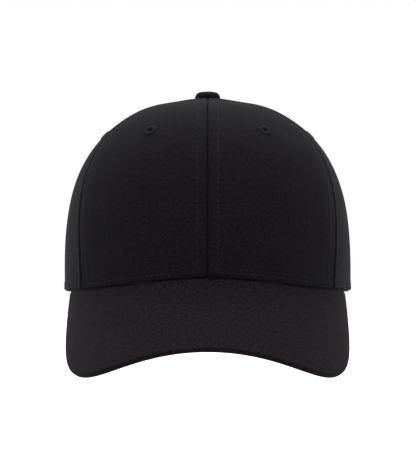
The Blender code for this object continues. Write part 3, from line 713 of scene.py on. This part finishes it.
def make_tape(name, turn, depth, foot, material, thread, side=1):
    """A folded tape over a seam's inside with a row of stitches along each of its edges."""
    share = np.linspace(float(share_at(foot)), share_at_radius(TAPE_TOP_RADIUS), 160)
    radius = ring_radius(share)
    half = np.minimum(TAPE_HALF_WIDTH, radius * math.tan(math.radians(28)) - 0.3)
    across = np.array([-1, -0.95, -0.84, -0.74, -0.6, -0.35, 0, 0.35, 0.6, 0.74, 0.84, 0.95, 1])
    turns = turn + np.degrees(half / radius) * across[:, None]
    shares = np.broadcast_to(share, turns.shape)
    place = crown_point(turns, shares)
    folded = 0.34 + 0.14 * bell(np.abs(across), 0.9, 0.12) + 0.12 * bell(across, 0, 0.4)
    sewn = 0.14 * bell(np.abs(across), 0.74, 0.1)[:, None]
    walked = lengths_along(place, 1)
    drawn = 1 + 0.5 * np.cos(2 * np.pi * walked / STITCH_PITCH)
    thickness = folded[:, None] - sewn * drawn + 0.05 * waves(place, 7.0, int(turn) + 3)
    made, grid = inner_layer(f"cloth_{name}", turns, shares, depth, thickness, side)
    finish_piece(made, material, (name,))
    declare_cloth(grid, turned_in=2.0)
    rows = []
    for way in (-1, 1):
        beside = turn + way * np.degrees(0.74 * half / radius)
        rows.append(crown_row(beside, share, depth + 0.3, side, way=-1))
    make_stitches(f"stitches_{name}", rows, thread)


def make_binding(material, thread):
    """The tape round the inside of the rear opening."""
    foot = math.degrees(math.asin(float(share_at(BINDING_FOOT_HEIGHT) / share_at(OPENING_HEIGHT))))
    angle = np.linspace(foot, 90, 90)
    margins = np.array([0.4, 0.7, 1.3, 1.9, 2.8, 4.5, 6.2, 7.1, 7.7, 8.5, 9.0])
    turns, shares = [], []
    for margin in margins:
        turn, share = opening_round(angle, margin)
        turns.append(turn)
        shares.append(share)
    turn, share = np.stack(turns), np.stack(shares)
    sewn = bell(margins, 1.6, 0.6) + bell(margins, 7.4, 0.6)
    thickness = 0.42 - 0.12 * sewn[:, None] + 0.05 * waves(crown_point(turn, share), 7.0, 77)
    made, grid = inner_layer(
        "cloth_rear_opening_binding", turn, share, BACK_TAPE_DEPTH, thickness
    )
    finish_piece(made, material, ("rear_opening_binding",))
    declare_cloth(grid, turned_in=2.0)
    rows = []
    for margin in (1.6, 7.4):
        turn, share = opening_round(angle, margin)
        rows.append(crown_row(turn, share, BACK_TAPE_DEPTH + 0.36, way=-1))
    make_stitches("stitches_rear_opening_binding", rows, thread)


BAND_ROWS = (3.6, 28.8)  # heights of the rows of stitches along the sweatband


def band_swell(turn, height):
    """How far the sweatband's face stands towards the head at this height above the rim."""
    place = crown_point(turn, share_at(height))
    puffed = 0.45 * np.sin(np.pi * np.clip(height / BAND_HEIGHT, 0, 1)) ** 0.7
    sewn = sum(0.5 * bell(height, row, 1.1) for row in BAND_ROWS)
    drawn = 0.14 * waves(place, 9.0, 61) * sum(bell(height, row, 4.0) for row in BAND_ROWS)
    return puffed - sewn + drawn + 0.22 * waves(place, 38.0, 62)


def band_point(turn, height, depth):
    return at_depth(turn, share_at(edge_height(turn) + height), depth)


def band_row(turn, height, out):
    """A row's line out from the sweatband's face, and normals that point towards the head."""
    level = np.full_like(turn, height)
    points = band_point(turn, level, BAND_DEPTH + BAND_THICKNESS + band_swell(turn, level) + out)
    return points, -crown_normal(turn, share_at(edge_height(turn) + level))


def make_sweatband(twill, thread):
    """A strip of twill folded round its lower edge, with two rows of stitches."""
    turn = np.linspace(-BAND_END_TURN, BAND_END_TURN, 481)
    outer, inner, foot = BAND_DEPTH, BAND_DEPTH + BAND_THICKNESS, 1.2
    near_rows = [row + step for row in BAND_ROWS for step in (-1.4, -0.7, 0.0, 0.7, 1.4)]
    heights = np.sort(np.concatenate([np.linspace(foot, BAND_HEIGHT, 20), near_rows]))[::-1]
    bend = np.radians(np.linspace(0, 180, 11))[1:-1]
    middle, half = (outer + inner) / 2, BAND_THICKNESS / 2
    path = [(inner, height, 1, 0) for height in heights]
    for angle in bend:
        across, down = math.cos(angle), math.sin(angle)
        path.append((middle + half * across, foot - 0.7 * down, across, -down))
    path += [(outer, height, -1, 0) for height in np.linspace(foot, BAND_HEIGHT, 9)]
    face, lining = [], []
    for depth, height, way, down in path:
        swell = band_swell(turn, np.full_like(turn, height)) * (way == 1)
        face.append(band_point(turn, height, depth + swell))
        lining.append(band_point(turn, height - 0.42 * down, depth + swell - 0.42 * way))
    face, lining = np.stack(face, 1), np.stack(lining, 1)
    made = make_layer("cloth_sweatband", face, lining)
    finish_piece(made, twill, ("sweatband",))
    sewn = turn[4:-4]
    rows = [band_row(sewn, height, 0.05) for height in BAND_ROWS]
    make_stitches("stitches_sweatband", rows, thread)
    top_row = band_row(sewn, BAND_HEIGHT - 0.3, -0.15)
    make_stitches("overlock_sweatband", [top_row], thread, pitch=1.3, length=0.9, width=1.1)


def make_foam(foam):
    """The padding inside the sweatband, with rounded edges."""
    foot, top = 2.8, BAND_HEIGHT - 1.0
    turn = np.linspace(-BAND_END_TURN + 0.6, BAND_END_TURN - 0.6, 241)[:, None]
    height = np.linspace(foot, top, 14)[None, :]
    turn, height = np.broadcast_arrays(turn, height)
    rounded = np.sqrt(np.clip(np.minimum(height - foot, top - height) / 1.2, 0.1, 1))
    middle = np.full(turn.shape, BAND_DEPTH + BAND_THICKNESS / 2)
    swell = (0.6 + 0.06 * waves(band_point(turn, height, middle), 12.0, 63)) * rounded
    front, back = (band_point(turn, height, middle + way * swell) for way in (-1, 1))
    strip = make_layer("foam_strip", front, back)
    finish_piece(strip, foam, ("sweatband_foam",))


def make_label(satin, thread):
    """A blank satin label, doubled over, sewn along its top and free at its foot."""
    turn = np.linspace(*LABEL_TURNS, 40)[:, None]
    height = np.linspace(*LABEL_HEIGHTS, 40)[None, :]
    turn, height = np.broadcast_arrays(turn, height)
    down = (LABEL_HEIGHTS[1] - height) / (LABEL_HEIGHTS[1] - LABEL_HEIGHTS[0])
    across = (turn - LABEL_TURNS[0]) / (LABEL_TURNS[1] - LABEL_TURNS[0])
    free = 0.7 * down**2 * (0.6 + 0.4 * np.cos(2 * np.pi * across + 1)) + 0.08
    depth = BAND_DEPTH + BAND_THICKNESS + band_swell(turn, height) + free
    thickness = 0.3 + 0.12 * bell(down, 1.0, 0.05)
    face, back = band_point(turn, height, depth + thickness), band_point(turn, height, depth)
    made = make_layer("satin_care_label", back, face)
    finish_piece(made, satin, ("care_label",))
    declare_cloth(face)
    turn = np.linspace(LABEL_TURNS[0] + 0.3, LABEL_TURNS[1] - 0.3, 60)
    row = band_row(turn, LABEL_HEIGHTS[1] - 1.2, 0.42)
    make_stitches("stitches_care_label", [row], thread, pitch=2.6, length=2.0, width=0.4)


def make_lining(materials, thread):
    for side_name, side in SIDES:
        make_buckram(side_name, side, materials["buckram"])
        for place, depth in (("front", FRONT_TAPE_DEPTH), ("back", BACK_TAPE_DEPTH)):
            name, turn = f"seam_tape_{place}_{side_name}", SIDE_SEAMS[place]
            make_tape(name, turn, depth, 1.0, materials["tape"], thread, side)
    front_foot, rear_foot = FRONT_EDGE_LIFT + 1.0, OPENING_HEIGHT + BINDING_WIDTH + 0.5
    make_tape("seam_tape_front", 0.0, FRONT_TAPE_DEPTH, front_foot, materials["tape"], thread)
    make_tape("seam_tape_rear", 180.0, BACK_TAPE_DEPTH, rear_foot, materials["tape"], thread)
    make_binding(materials["tape"], thread)
    make_sweatband(materials["band"], thread)
    make_foam(materials["foam"])
    make_label(materials["satin"], thread)


# ---------------------------------------------------------------- snap closure
def strap_point(turn, height, depth):
    """A point of a strap, upright along the rim. turn is from the back's middle."""
    edge = crown_point(180 - turn, 0.0)
    spot = edge - unit(crown_normal(180 - turn, 0.0) * (1, 1, 0)) * np.asarray(depth)[..., None]
    return spot + np.asarray(height)[..., None] * np.array([0, 0, 1.0])


def strap_strip(depth_of):
    """Grid round a strap's section, from its sewn end to its rounded tip."""
    straight, tip = np.linspace(TAB_END_TURN, -12, 150), np.linspace(-12, STRAP_TIP_TURN, 30)
    turns = np.concatenate([straight, tip[1:]])
    corner, half, flat = 0.42, STRAP_THICKNESS / 2, (STRAP_TOP - STRAP_BOTTOM) / 2
    to_tip = np.clip((turns - STRAP_TIP_TURN) / 4.0, 0, 1)
    to_root = np.clip((TAB_END_TURN - turns) / 0.6, 0, 1)
    reach = flat * np.sqrt(np.clip(1 - (1 - to_tip) ** 2, 0.02, 1))
    reach = reach - 0.8 * (1 - np.sqrt(np.clip(1 - (1 - to_root) ** 2, 0, 1)))
    face = [round(share, 1) for share in np.linspace(0.8, -0.8, 9)]
    section = []
    for up, out in ((1, 1), (1, -1), (-1, -1), (-1, 1)):
        for angle in np.radians((0, 30, 60, 90)):
            lean = angle if up * out > 0 else math.pi / 2 - angle
            shift = corner * (math.sin(lean) - 1) * up
            section.append((up, shift, out * (half - corner + corner * math.cos(lean))))
        if (up, out) == (1, -1):
            section += [(share, 0.0, -half) for share in face]
    section += [(share, 0.0, half) for share in reversed(face)]
    middle = (STRAP_TOP + STRAP_BOTTOM) / 2
    lines = []
    for share, shift, out in section:
        border = 0.12 * (abs(share) > 0.9) * np.sign(out)
        depth = depth_of(turns) + half - out - border
        lines.append(strap_point(turns, middle + reach * share + shift, depth))
    return np.stack(lines, 1)


def turned_at(place, axis, profile, steps=28):
    """Points and faces of a ring or a peg: profile is (radius, height along axis), closed."""
    out = spokes(axis, steps)
    points = np.stack([place + out * radius + axis * height for radius, height in profile], 1)
    return points.reshape(-1, 3), ring_faces(steps, len(profile))


def snap_places(first, count, depth):
    turns = first + SNAP_PITCH_TURN * np.arange(count)
    middle = np.full(count, (STRAP_TOP + STRAP_BOTTOM) / 2)
    places = strap_point(turns, middle, np.full(count, depth))
    return list(zip(places, unit(crown_normal(180 - turns, 0.0) * (1, 1, 0)), strict=True))


def join_meshes(made, extras):
    """Adds loose shells to a piece's mesh."""
    shape = bmesh.new()
    shape.from_mesh(made.data)
    for points, faces in extras:
        corners = [shape.verts.new(point * MM) for point in points]
        for face in faces:
            shape.faces.new([corners[i] for i in face])
    bmesh.ops.recalc_face_normals(shape, faces=shape.faces)
    shape.to_mesh(made.data)
    shape.free()
    made.data.shade_smooth()
    made.data.set_sharp_from_angle(angle=math.radians(40))


def make_strap(name, strip):
    columns, rows = strip.shape[:2]
    return make_mesh(name, strip.reshape(-1, 3), tube_faces(columns, rows))


def finish_strap(made, plastic, nodes):
    """Gives the strap its material, hides the solids it stands for and bakes its placement into its
    mesh; it is given no body.
    """
    finish_piece(made, plastic, nodes, body=None)
    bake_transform(made)


def make_hole_strap(plastic):
    """The outer strap, with holes in raised rims."""
    holes = make_strap("moulded_hole_strap", strap_strip(lambda turns: STRAP_DEPTH + 0 * turns))
    rims = []
    rim = [(2.3, -1.3), (2.3, 0.1), (2.45, 0.28), (2.8, 0.34), (3.15, 0.26), (3.3, -0.1), (3.2, -0.6)]
    for place, axis in snap_places(FIRST_HOLE_TURN, HOLE_COUNT, STRAP_DEPTH):
        cut_round_hole(holes, place, axis, 2.35, reach=3.6)
        rims.append(turned_at(place, axis, rim))
    join_meshes(holes, rims)
    finish_strap(holes, plastic, ("strap_tab_left", "snap_strap_holes"))


def make_peg_strap(plastic):
    """The strap behind it, which steps in beside its tab and has mushroom pegs."""
    stand = INNER_STRAP_DEPTH - STRAP_DEPTH

    def step_in(turns):
        return STRAP_DEPTH + stand * (1 - smooth(22.5, 29.5, turns))

    pegs = make_strap("moulded_peg_strap", mirrored(strap_strip(step_in), -1))
    peg = [(0.01, -0.6), (2.1, -0.5), (2.0, 0.1), (1.5, 0.5), (1.45, stand - 0.3), (1.9, stand + 0.05)]
    peg += [(1.95, stand + 0.25), (1.7, stand + 0.45), (1.1, stand + 0.58), (0.01, stand + 0.62)]
    studs = [
        turned_at(place, axis, peg)
        for place, axis in snap_places(FIRST_PEG_TURN, PEG_COUNT, INNER_STRAP_DEPTH)
    ]
    join_meshes(pegs, studs)
    finish_strap(pegs, plastic, ("strap_tab_right", "snap_strap_pegs"))


def make_tab_stitches(thread):
    """The rectangle that is sewn through each strap's tab, seen on both sides."""
    corners = np.array([(36.0, 4.2), (36.0, 14.8), (40.0, 14.8), (40.0, 4.2), (36.0, 4.2)])
    box = [np.linspace(start, end, 20) for start, end in zip(corners[:-1], corners[1:], strict=True)]
    turns, heights = np.concatenate(box).T
    for side_name, side in SIDES:
        outside = crown_row(180 - turns, share_at(heights), -0.12, side)
        points = strap_point(turns, heights, np.full_like(turns, STRAP_DEPTH + STRAP_THICKNESS + 0.05))
        inward = -unit(crown_normal(180 - turns, 0.0) * (1, 1, 0))
        inside = mirrored(points, side), mirrored(inward, side)
        make_stitches(f"stitches_tab_{side_name}", [outside, inside], thread, pitch=3.0, length=2.3)


# ---------------------------------------------------------------- pieces that keep the solid's shape
def dress_solids(metal):
    """A material for the solids that show as they are, inside the button and under it."""
    for name in ("button_shell", "button_rivet", "button_backplate"):
        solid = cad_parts[name]
        solid.data.materials.clear()
        solid.data.materials.append(metal)


# ---------------------------------------------------------------- visor
VISOR_COLUMNS, VISOR_ROWS = 221, 56
EDGE_RADIUS = 1.3
ROLLED_OUT = 0.6  # how far the rolled edge stands out from the solid's


def inset_line(x, out, inset):
    """The visor's outline moved in, or out if inset is below 0."""
    dx, dout = np.gradient(x), np.gradient(out)
    size = np.hypot(dx, dout)
    return x - inset * dout / size, out + inset * dx / size


def visor_layer(lift, gap, edge_lifts):
    """Grid over the visor at one lift, from its root round the roll of its free edge, and its uv.

    edge_lifts says how the edge rolls over: shares of its reach outwards, and lifts.
    """
    outline_x, outline_out = inset_line(*visor_outline(VISOR_COLUMNS), -ROLLED_OUT)
    rim_x, rim_out = inset_line(outline_x, outline_out, EDGE_RADIUS)
    root_x = np.linspace(1, -1, 801) * VISOR_ROOT_HALF_WIDTH
    root_x, root_out = evenly(root_x, visor_root(root_x, lift, gap), VISOR_COLUMNS)
    lines, flat = [], []
    for part in 1 - (1 - np.linspace(0, 1, VISOR_ROWS)) ** 1.15:
        x = root_x + (rim_x - root_x) * part
        out = root_out + (rim_out - root_out) * part
        place = np.stack([x, out, np.zeros_like(x)], -1)
        uneven = 0.07 * waves(place, 30.0, 21) * np.sin(np.pi * min(part * 1.2, 1.0))
        lines.append(visor_point(x, out, lift + uneven))
        round_arch = ARCH_RADIUS * np.arcsin(x / ARCH_RADIUS)
        flat.append(np.stack([round_arch, out], -1))
    past_x, past_out = inset_line(rim_x, rim_out, -1.0)
    outward = np.stack([past_x - rim_x, past_out - rim_out], -1)
    for reach, drop in edge_lifts:
        x, out = inset_line(outline_x, outline_out, EDGE_RADIUS * (1 - reach))
        lines.append(visor_point(x, out, np.full_like(x, drop)))
        step = np.linalg.norm(lines[-1] - lines[-2], axis=-1)
        flat.append(flat[-1] + outward * step[:, None])
    return np.stack(lines, 1), np.stack(flat, 1)


def make_visor(twill):
    """The two cloths, which roll over the visor's edge from above and below and meet halfway."""
    half = VISOR_THICKNESS / 2
    quarter = np.radians([15, 30, 45, 60, 75, 90])
    roll = list(zip(np.sin(quarter) ** 0.7, 1 - np.cos(quarter) ** 0.7, strict=True))
    for side, up, face, root_gap in (("top", 1, 0.0, -1.6), ("bottom", -1, -VISOR_THICKNESS, -2.0)):
        edge = [(reach, face - up * drop * (half - 0.12)) for reach, drop in roll]
        edge.append((0.72, -half + 0.1 * up))
        outer, uv = visor_layer(face, root_gap, edge)
        edge = [(reach - 0.42, face - up * (0.55 + drop * (half - 0.5))) for reach, drop in roll]
        edge.append((0.4, -half + 0.05 * up))
        inner, _ = visor_layer(face - 0.5 * up, root_gap, edge)
        cloth = make_layer(f"cloth_visor_{side}", outer, inner, uv)
        finish_piece(cloth, twill, (f"visor_{side}_cover",))
        declare_cloth(outer)


def make_board(plastic):
    """The moulded plate between the visor's cloths, with a rounded rim, short of the visor's tips."""
    outline_x, outline_out = (line[8:-8] for line in visor_outline(VISOR_COLUMNS))
    root_x = np.linspace(1, -1, 801) * (VISOR_ROOT_HALF_WIDTH - 10.0)
    root_x, root_out = evenly(root_x, visor_root(root_x, -0.9, 2.6), len(outline_x))
    upper, lower = [], []
    for inset, part in [(2.6, part) for part in np.linspace(0, 1, 24)] + [(2.1, 1.0), (1.9, 1.0)]:
        rim_x, rim_out = inset_line(outline_x, outline_out, inset)
        x, out = root_x + (rim_x - root_x) * part, root_out + (rim_out - root_out) * part
        thin = 0.5 * smooth(2.7, 1.9, inset)
        upper.append(visor_point(x, out, np.full_like(x, -1.0 - thin)))
        lower.append(visor_point(x, out, np.full_like(x, -2.4 + thin)))
    made = make_layer("moulded_visor_board", np.stack(upper, 1), np.stack(lower, 1))
    finish_piece(made, plastic, ("visor_board",))


# ---------------------------------------------------------------- button
def make_button(twill):
    """Cloth gathered over a domed shell: fine pleats run from under it up its side."""
    low, high = (np.array(v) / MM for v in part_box("button_cover"))
    radius, foot, height = high[0] + 0.25, low[2] - 0.5, high[2] - low[2] + 0.8
    angle = 2 * np.pi * np.arange(144) / 144
    rise = np.radians(np.linspace(90, 0, 22))
    profile = [(radius * math.cos(a) ** 0.5, height * math.sin(a) ** 0.8) for a in rise]
    profile += [(radius - 0.35, -0.35), (radius - 1.3, -0.5), (radius - 2.6, -0.25)]
    profile += [(radius - 2.4, 0.3), (radius - 0.9, 0.6), (radius - 0.9, height - 1.6)]
    profile += [(radius * 0.6, height - 0.9), (0.02, height - 0.7)]
    pleats = np.cos(26 * angle) + 0.5 * np.cos(11 * angle + 1)
    lines = []
    for k, (reach, level) in enumerate(profile):
        pleated = 0.10 * pleats * smooth(0.75 * height, 0.0, level) * (k < 25)
        far = max(reach, 0.02) + pleated * (reach > 4)
        upwards = np.full_like(angle, foot + level)
        lines.append(np.stack([far * np.cos(angle), far * np.sin(angle), upwards], -1))
    points = np.stack(lines)
    walked = lengths_along(points, 0)
    uv = np.stack([walked * np.cos(angle), walked * np.sin(angle)], -1)
    faces = tube_faces(len(profile), len(angle))
    made = make_mesh("cloth_button", points.reshape(-1, 3), faces, uv.reshape(-1, 2))
    finish_piece(made, twill, ("button_cover",))


# ---------------------------------------------------------------- materials
class Shader:
    """A material's nodes, written as short expressions."""

    def __init__(self, name, **settings):
        self.material = bpy.data.materials.new(name)
        self.material.use_nodes = True
        self.nodes = self.material.node_tree.nodes
        self.links = self.material.node_tree.links
        self.surface = self.nodes["Principled BSDF"]
        for socket, value in settings.items():
            label = socket.replace("_", " ").title().replace("Ior", "IOR")
            self.surface.inputs[label].default_value = value

    def add(self, kind, inputs=None, **options):
        node = self.nodes.new("ShaderNode" + kind)
        for key, value in options.items():
            setattr(node, key, value)
        for key, value in (inputs or {}).items():
            if isinstance(value, bpy.types.NodeSocket):
                self.links.new(value, node.inputs[key])
            else:
                node.inputs[key].default_value = value
        return node

    def math(self, operation, *values):
        return self.add("Math", dict(enumerate(values)), operation=operation).outputs[0]

    def place(self):
        """Cloth coordinates in millimetres, as (across, up, vector)."""
        where = self.stretched(self.add("UVMap", uv_map="weave").outputs["UV"], (1000, 1000, 1000))
        parts = self.add("SeparateXYZ", {0: where})
        return parts.outputs["X"], parts.outputs["Y"], where

    def solid_place(self):
        """The piece's own coordinates in millimetres."""
        return self.stretched(self.add("TexCoord").outputs["Object"], (1000, 1000, 1000))

    def stretched(self, where, factors):
        return self.add("VectorMath", {0: where, 1: factors}, operation="MULTIPLY").outputs[0]

    def noise(self, where, scale, detail=3.0, roughness=0.6):
        """Noise from 0 to 1, of one scale or of a scale for each direction."""
        if isinstance(scale, tuple):
            where, scale = self.stretched(where, scale), 1.0
        inputs = {"Vector": where, "Scale": scale, "Detail": detail, "Roughness": roughness}
        return self.add("TexNoise", inputs).outputs["Fac"]

    def ramp(self, value, low, high):
        """The value mapped from 0..1 to low..high."""
        return self.math("MULTIPLY_ADD", value, high - low, low)

    def varied(self, level, *unevenness):
        """The level times 1 - spread to 1 + spread, for each (noise, spread)."""
        for value, spread in unevenness:
            level = self.math("MULTIPLY", level, self.ramp(value, 1 - spread, 1 + spread))
        return level

    def finish(self, colour, level, height, bump, depth, roughness):
        """Ends a material: its colour times a level, its relief in metres and its roughness."""
        tinted = self.add("VectorMath", {0: colour, "Scale": level}, operation="SCALE")
        self.links.new(tinted.outputs[0], self.surface.inputs["Base Color"])
        inputs = {"Height": height, "Strength": bump, "Distance": depth}
        relief = self.add("Bump", inputs)
        self.links.new(relief.outputs["Normal"], self.surface.inputs["Normal"])
        self.links.new(roughness, self.surface.inputs["Roughness"])
        return self.material


def twill_material(name, colour, sheen, grain=1.0):
    """Brushed cotton twill: steep diagonal ribs, yarns across them, fuzz and uneven dye."""
    made = Shader(name, specular_ior_level=0.05, sheen_weight=sheen, sheen_roughness=0.4)
    across, up, where = made.place()
    rib_pitch, yarn_pitch, steep = 0.72, 0.36, math.radians(62)
    ribs = 2 * math.pi / rib_pitch
    climb = made.math("MULTIPLY", up, ribs * math.cos(steep))
    turned = made.math("MULTIPLY_ADD", across, ribs * math.sin(steep), climb)
    wander = made.noise(where, (0.6, 0.15, 1), 2.0)
    rib = made.math("SINE", made.math("MULTIPLY_ADD", wander, 5.0, turned))
    yarn = made.math("SINE", made.math("MULTIPLY", up, 2 * math.pi / yarn_pitch))
    weave = made.math("MULTIPLY_ADD", made.math("MULTIPLY", rib, yarn), 0.3, rib)
    weave = made.ramp(weave, 0.5, 0.88)
    fuzz = made.noise(where, 1.3, 4.0, 0.7)
    streak, slub = made.noise(where, (1.6, 0.07, 1)), made.noise(where, (0.07, 1.6, 1))
    blotch = made.noise(where, 0.045, 3.0, 0.55)
    level = made.varied(weave, (fuzz, 0.6), (streak, 0.28), (slub, 0.22), (blotch, 0.25))
    mottle = made.noise(where, (0.8, 0.55, 1), 2.0)
    speck = made.noise(where, (0.45, 1.1, 1), 1.0, 0.5)
    mottle = made.math("MULTIPLY_ADD", speck, 0.5, made.math("MULTIPLY", mottle, 0.5))
    contrast = 2.6 * grain
    mottle = made.math("MAXIMUM", made.ramp(mottle, 1 - contrast, 1 + contrast), 0.15)
    level = made.math("MULTIPLY", level, mottle)
    height = made.math("MULTIPLY_ADD", fuzz, 0.8, weave)
    return made.finish(colour, level, height, 0.45, 0.00016, made.ramp(fuzz, 0.78, 0.98))


def thread_material(name, colour):
    """Twisted thread."""
    made = Shader(name, specular_ior_level=0.03)
    twist = made.noise(made.solid_place(), 3.0, 2.0)
    level, roughness = made.ramp(twist, 0.6, 1.4), made.ramp(twist, 0.42, 0.62)
    return made.finish(colour, level, twist, 0.4, 0.0001, roughness)


def woven_material(name, colour, pitch, contrast, grain=0.4, **settings):
    """Plain weave of that pitch in millimetres: yarns over and under, with some slubs and fuzz."""
    made = Shader(name, **settings)
    across, up, where = made.place()
    wander = made.math("MULTIPLY", made.noise(where, 0.5, 2.0), 2.0)
    warp = made.math("SINE", made.math("MULTIPLY_ADD", across, 2 * math.pi / pitch, wander))
    weft = made.math("SINE", made.math("MULTIPLY_ADD", up, 2 * math.pi / pitch, wander))
    weave = made.math("MULTIPLY_ADD", made.math("MULTIPLY", warp, weft), 0.5, 0.5)
    fuzz = made.noise(where, 1.6, 4.0, 0.7)
    blotch = made.noise(where, 0.06, 3.0)
    level = made.ramp(weave, 1 - contrast, 1 + 0.3 * contrast)
    level = made.varied(level, (blotch, 0.18), (fuzz, grain))
    height = made.math("MULTIPLY_ADD", fuzz, 0.5, weave)
    return made.finish(colour, level, height, 0.5, 0.0002, made.ramp(fuzz, 0.75, 0.95))


def foam_material(name, colour):
    """Fine open cells."""
    made = Shader(name, roughness=0.95, specular_ior_level=0.15)
    where = made.solid_place()
    cell = made.add("TexVoronoi", {"Vector": where, "Scale": 1.6}).outputs["Distance"]
    age = made.noise(where, 0.08, 2.0)
    level = made.varied(made.ramp(cell, 0.55, 1.3), (age, 0.15))
    return made.finish(colour, level, cell, 0.6, 0.0003, made.ramp(cell, 0.85, 1.0))


def plastic_material(name, colour, gloss, grain):
    """Moulded plastic: a fine spark-eroded grain, faint flow marks and handling scuffs."""
    made = Shader(name, specular_ior_level=0.3)
    where = made.solid_place()
    spark = made.noise(where, grain, 4.0, 0.65)
    flow = made.noise(where, (0.12, 0.12, 0.5), 2.0)
    scuff = made.noise(where, 0.3, 6.0, 0.75)
    level = made.varied(made.ramp(spark, 0.85, 1.15), (flow, 0.15))
    roughness = made.math("MULTIPLY_ADD", scuff, 0.25, gloss)
    return made.finish(colour, level, spark, 0.25, 0.00008, roughness)


def metal_material(name, colour):
    """Pressed steel with a dull plating, drawn marks and specks."""
    made = Shader(name, metallic=1.0)
    where = made.solid_place()
    drawn = made.noise(where, (0.3, 0.3, 6.0))
    speck = made.noise(where, 3.0, 4.0, 0.7)
    level = made.math("MULTIPLY", made.ramp(drawn, 0.8, 1.15), made.ramp(speck, 0.85, 1.1))
    return made.finish(colour, level, drawn, 0.2, 0.00005, made.ramp(speck, 0.28, 0.5))


def satin_material(name, colour):
    """Label satin: long floats that run across it, with fine ribs between them."""
    shine = {"specular_ior_level": 0.4, "anisotropic": 0.5, "sheen_weight": 0.15}
    made = Shader(name, sheen_roughness=0.3, **shine)
    _, up, where = made.place()
    rib_pitch = 0.35
    rib = made.math("SINE", made.math("MULTIPLY", up, 2 * math.pi / rib_pitch))
    floats = made.noise(where, (0.5, 5.0, 1))
    level = made.math("MULTIPLY", made.ramp(rib, 0.93, 1.0), made.ramp(floats, 0.86, 1.1))
    height = made.math("MULTIPLY_ADD", rib, 0.4, floats)
    return made.finish(colour, level, height, 0.3, 0.0001, made.ramp(floats, 0.3, 0.5))


# ---------------------------------------------------------------- stage
def make_stage():
    """A pale floor far below, soft white light from all round, and more of it from above."""
    low, high = CAD_BOX
    below, reach = 2.0, 120.0
    bpy.ops.mesh.primitive_plane_add(size=reach, location=(0, 0, low.z - below))
    floor = bpy.context.active_object
    floor.name = "floor"
    floor.data.materials.append(
        Shader("pale_floor", roughness=0.9, base_color=(0.75, 0.75, 0.75, 1)).material
    )

    world = bpy.data.worlds.new("studio")
    world.use_nodes = True
    world.node_tree.nodes["Background"].inputs["Color"].default_value = (1, 1, 1, 1)
    world.node_tree.nodes["Background"].inputs["Strength"].default_value = 1.0
    bpy.context.scene.world = world

    middle = Vector((0, 0, (low.z + high.z) / 2))
    sun = bpy.data.lights.new("overhead", "SUN")
    sun.energy = 4.4
    sun.angle = math.radians(80)
    above = bpy.data.objects.new("overhead", sun)
    bpy.context.scene.collection.objects.link(above)
    for name, x in (("side_light_left", 1.3), ("side_light_right", -1.3)):
        light = bpy.data.lights.new(name, "AREA")
        light.shape = "RECTANGLE"
        light.size, light.size_y = 0.7, 1.2
        light.energy = 0.8
        lamp = bpy.data.objects.new(name, light)
        lamp.location = (x, 0.25, 0.25)
        lamp.rotation_euler = (middle - lamp.location).to_track_quat("-Z", "Y").to_euler()
        bpy.context.scene.collection.objects.link(lamp)
    bpy.context.scene.view_settings.view_transform = "Standard"


def make_camera():
    """Level with the crown's lower part and a long way off, so the cap is seen almost square on."""
    camera = bpy.data.cameras.new("camera")
    camera.lens = 172.3
    camera.sensor_width = 36
    placed = bpy.data.objects.new("camera", camera)
    placed.location = (0.00025, -1.4, 0.033)
    placed.rotation_euler = (math.radians(90), 0, 0)
    bpy.context.scene.collection.objects.link(placed)
    bpy.context.scene.camera = placed


crown_twill = twill_material("crown_twill", (0.0080, 0.0067, 0.0095), 0.013, 0.75)
visor_twill = twill_material("visor_twill", (0.0084, 0.0054, 0.0081), 0.016, 1.25)
thread = thread_material("black_thread", (0.0105, 0.0095, 0.0120))

inner_materials = {
    "buckram": woven_material(
        "buckram_mesh", (0.030, 0.030, 0.032), 1.1, 0.75, specular_ior_level=0.3
    ),
    "tape": woven_material("seam_tape", (0.014, 0.013, 0.015), 0.5, 0.5, specular_ior_level=0.15),
    "band": twill_material("sweatband_twill", (0.013, 0.012, 0.0145), 0.05, 0.7),
    "foam": foam_material("foam", (0.10, 0.10, 0.105)),
    "satin": satin_material("label_satin", (0.62, 0.61, 0.59)),
    "board": plastic_material("visor_board", (0.30, 0.30, 0.29), 0.45, 1.2),
    "metal": metal_material("button_metal", (0.60, 0.59, 0.57)),
}
snap_plastic = plastic_material("snap_plastic", (0.012, 0.012, 0.013), 0.30, 2.5)

make_stage()
make_camera()
make_crown(crown_twill, thread)
make_lining(inner_materials, thread)
make_visor(visor_twill)
make_board(inner_materials["board"])
make_button(crown_twill)
make_hole_strap(snap_plastic)
make_peg_strap(snap_plastic)
make_tab_stitches(thread)
dress_solids(inner_materials["metal"])
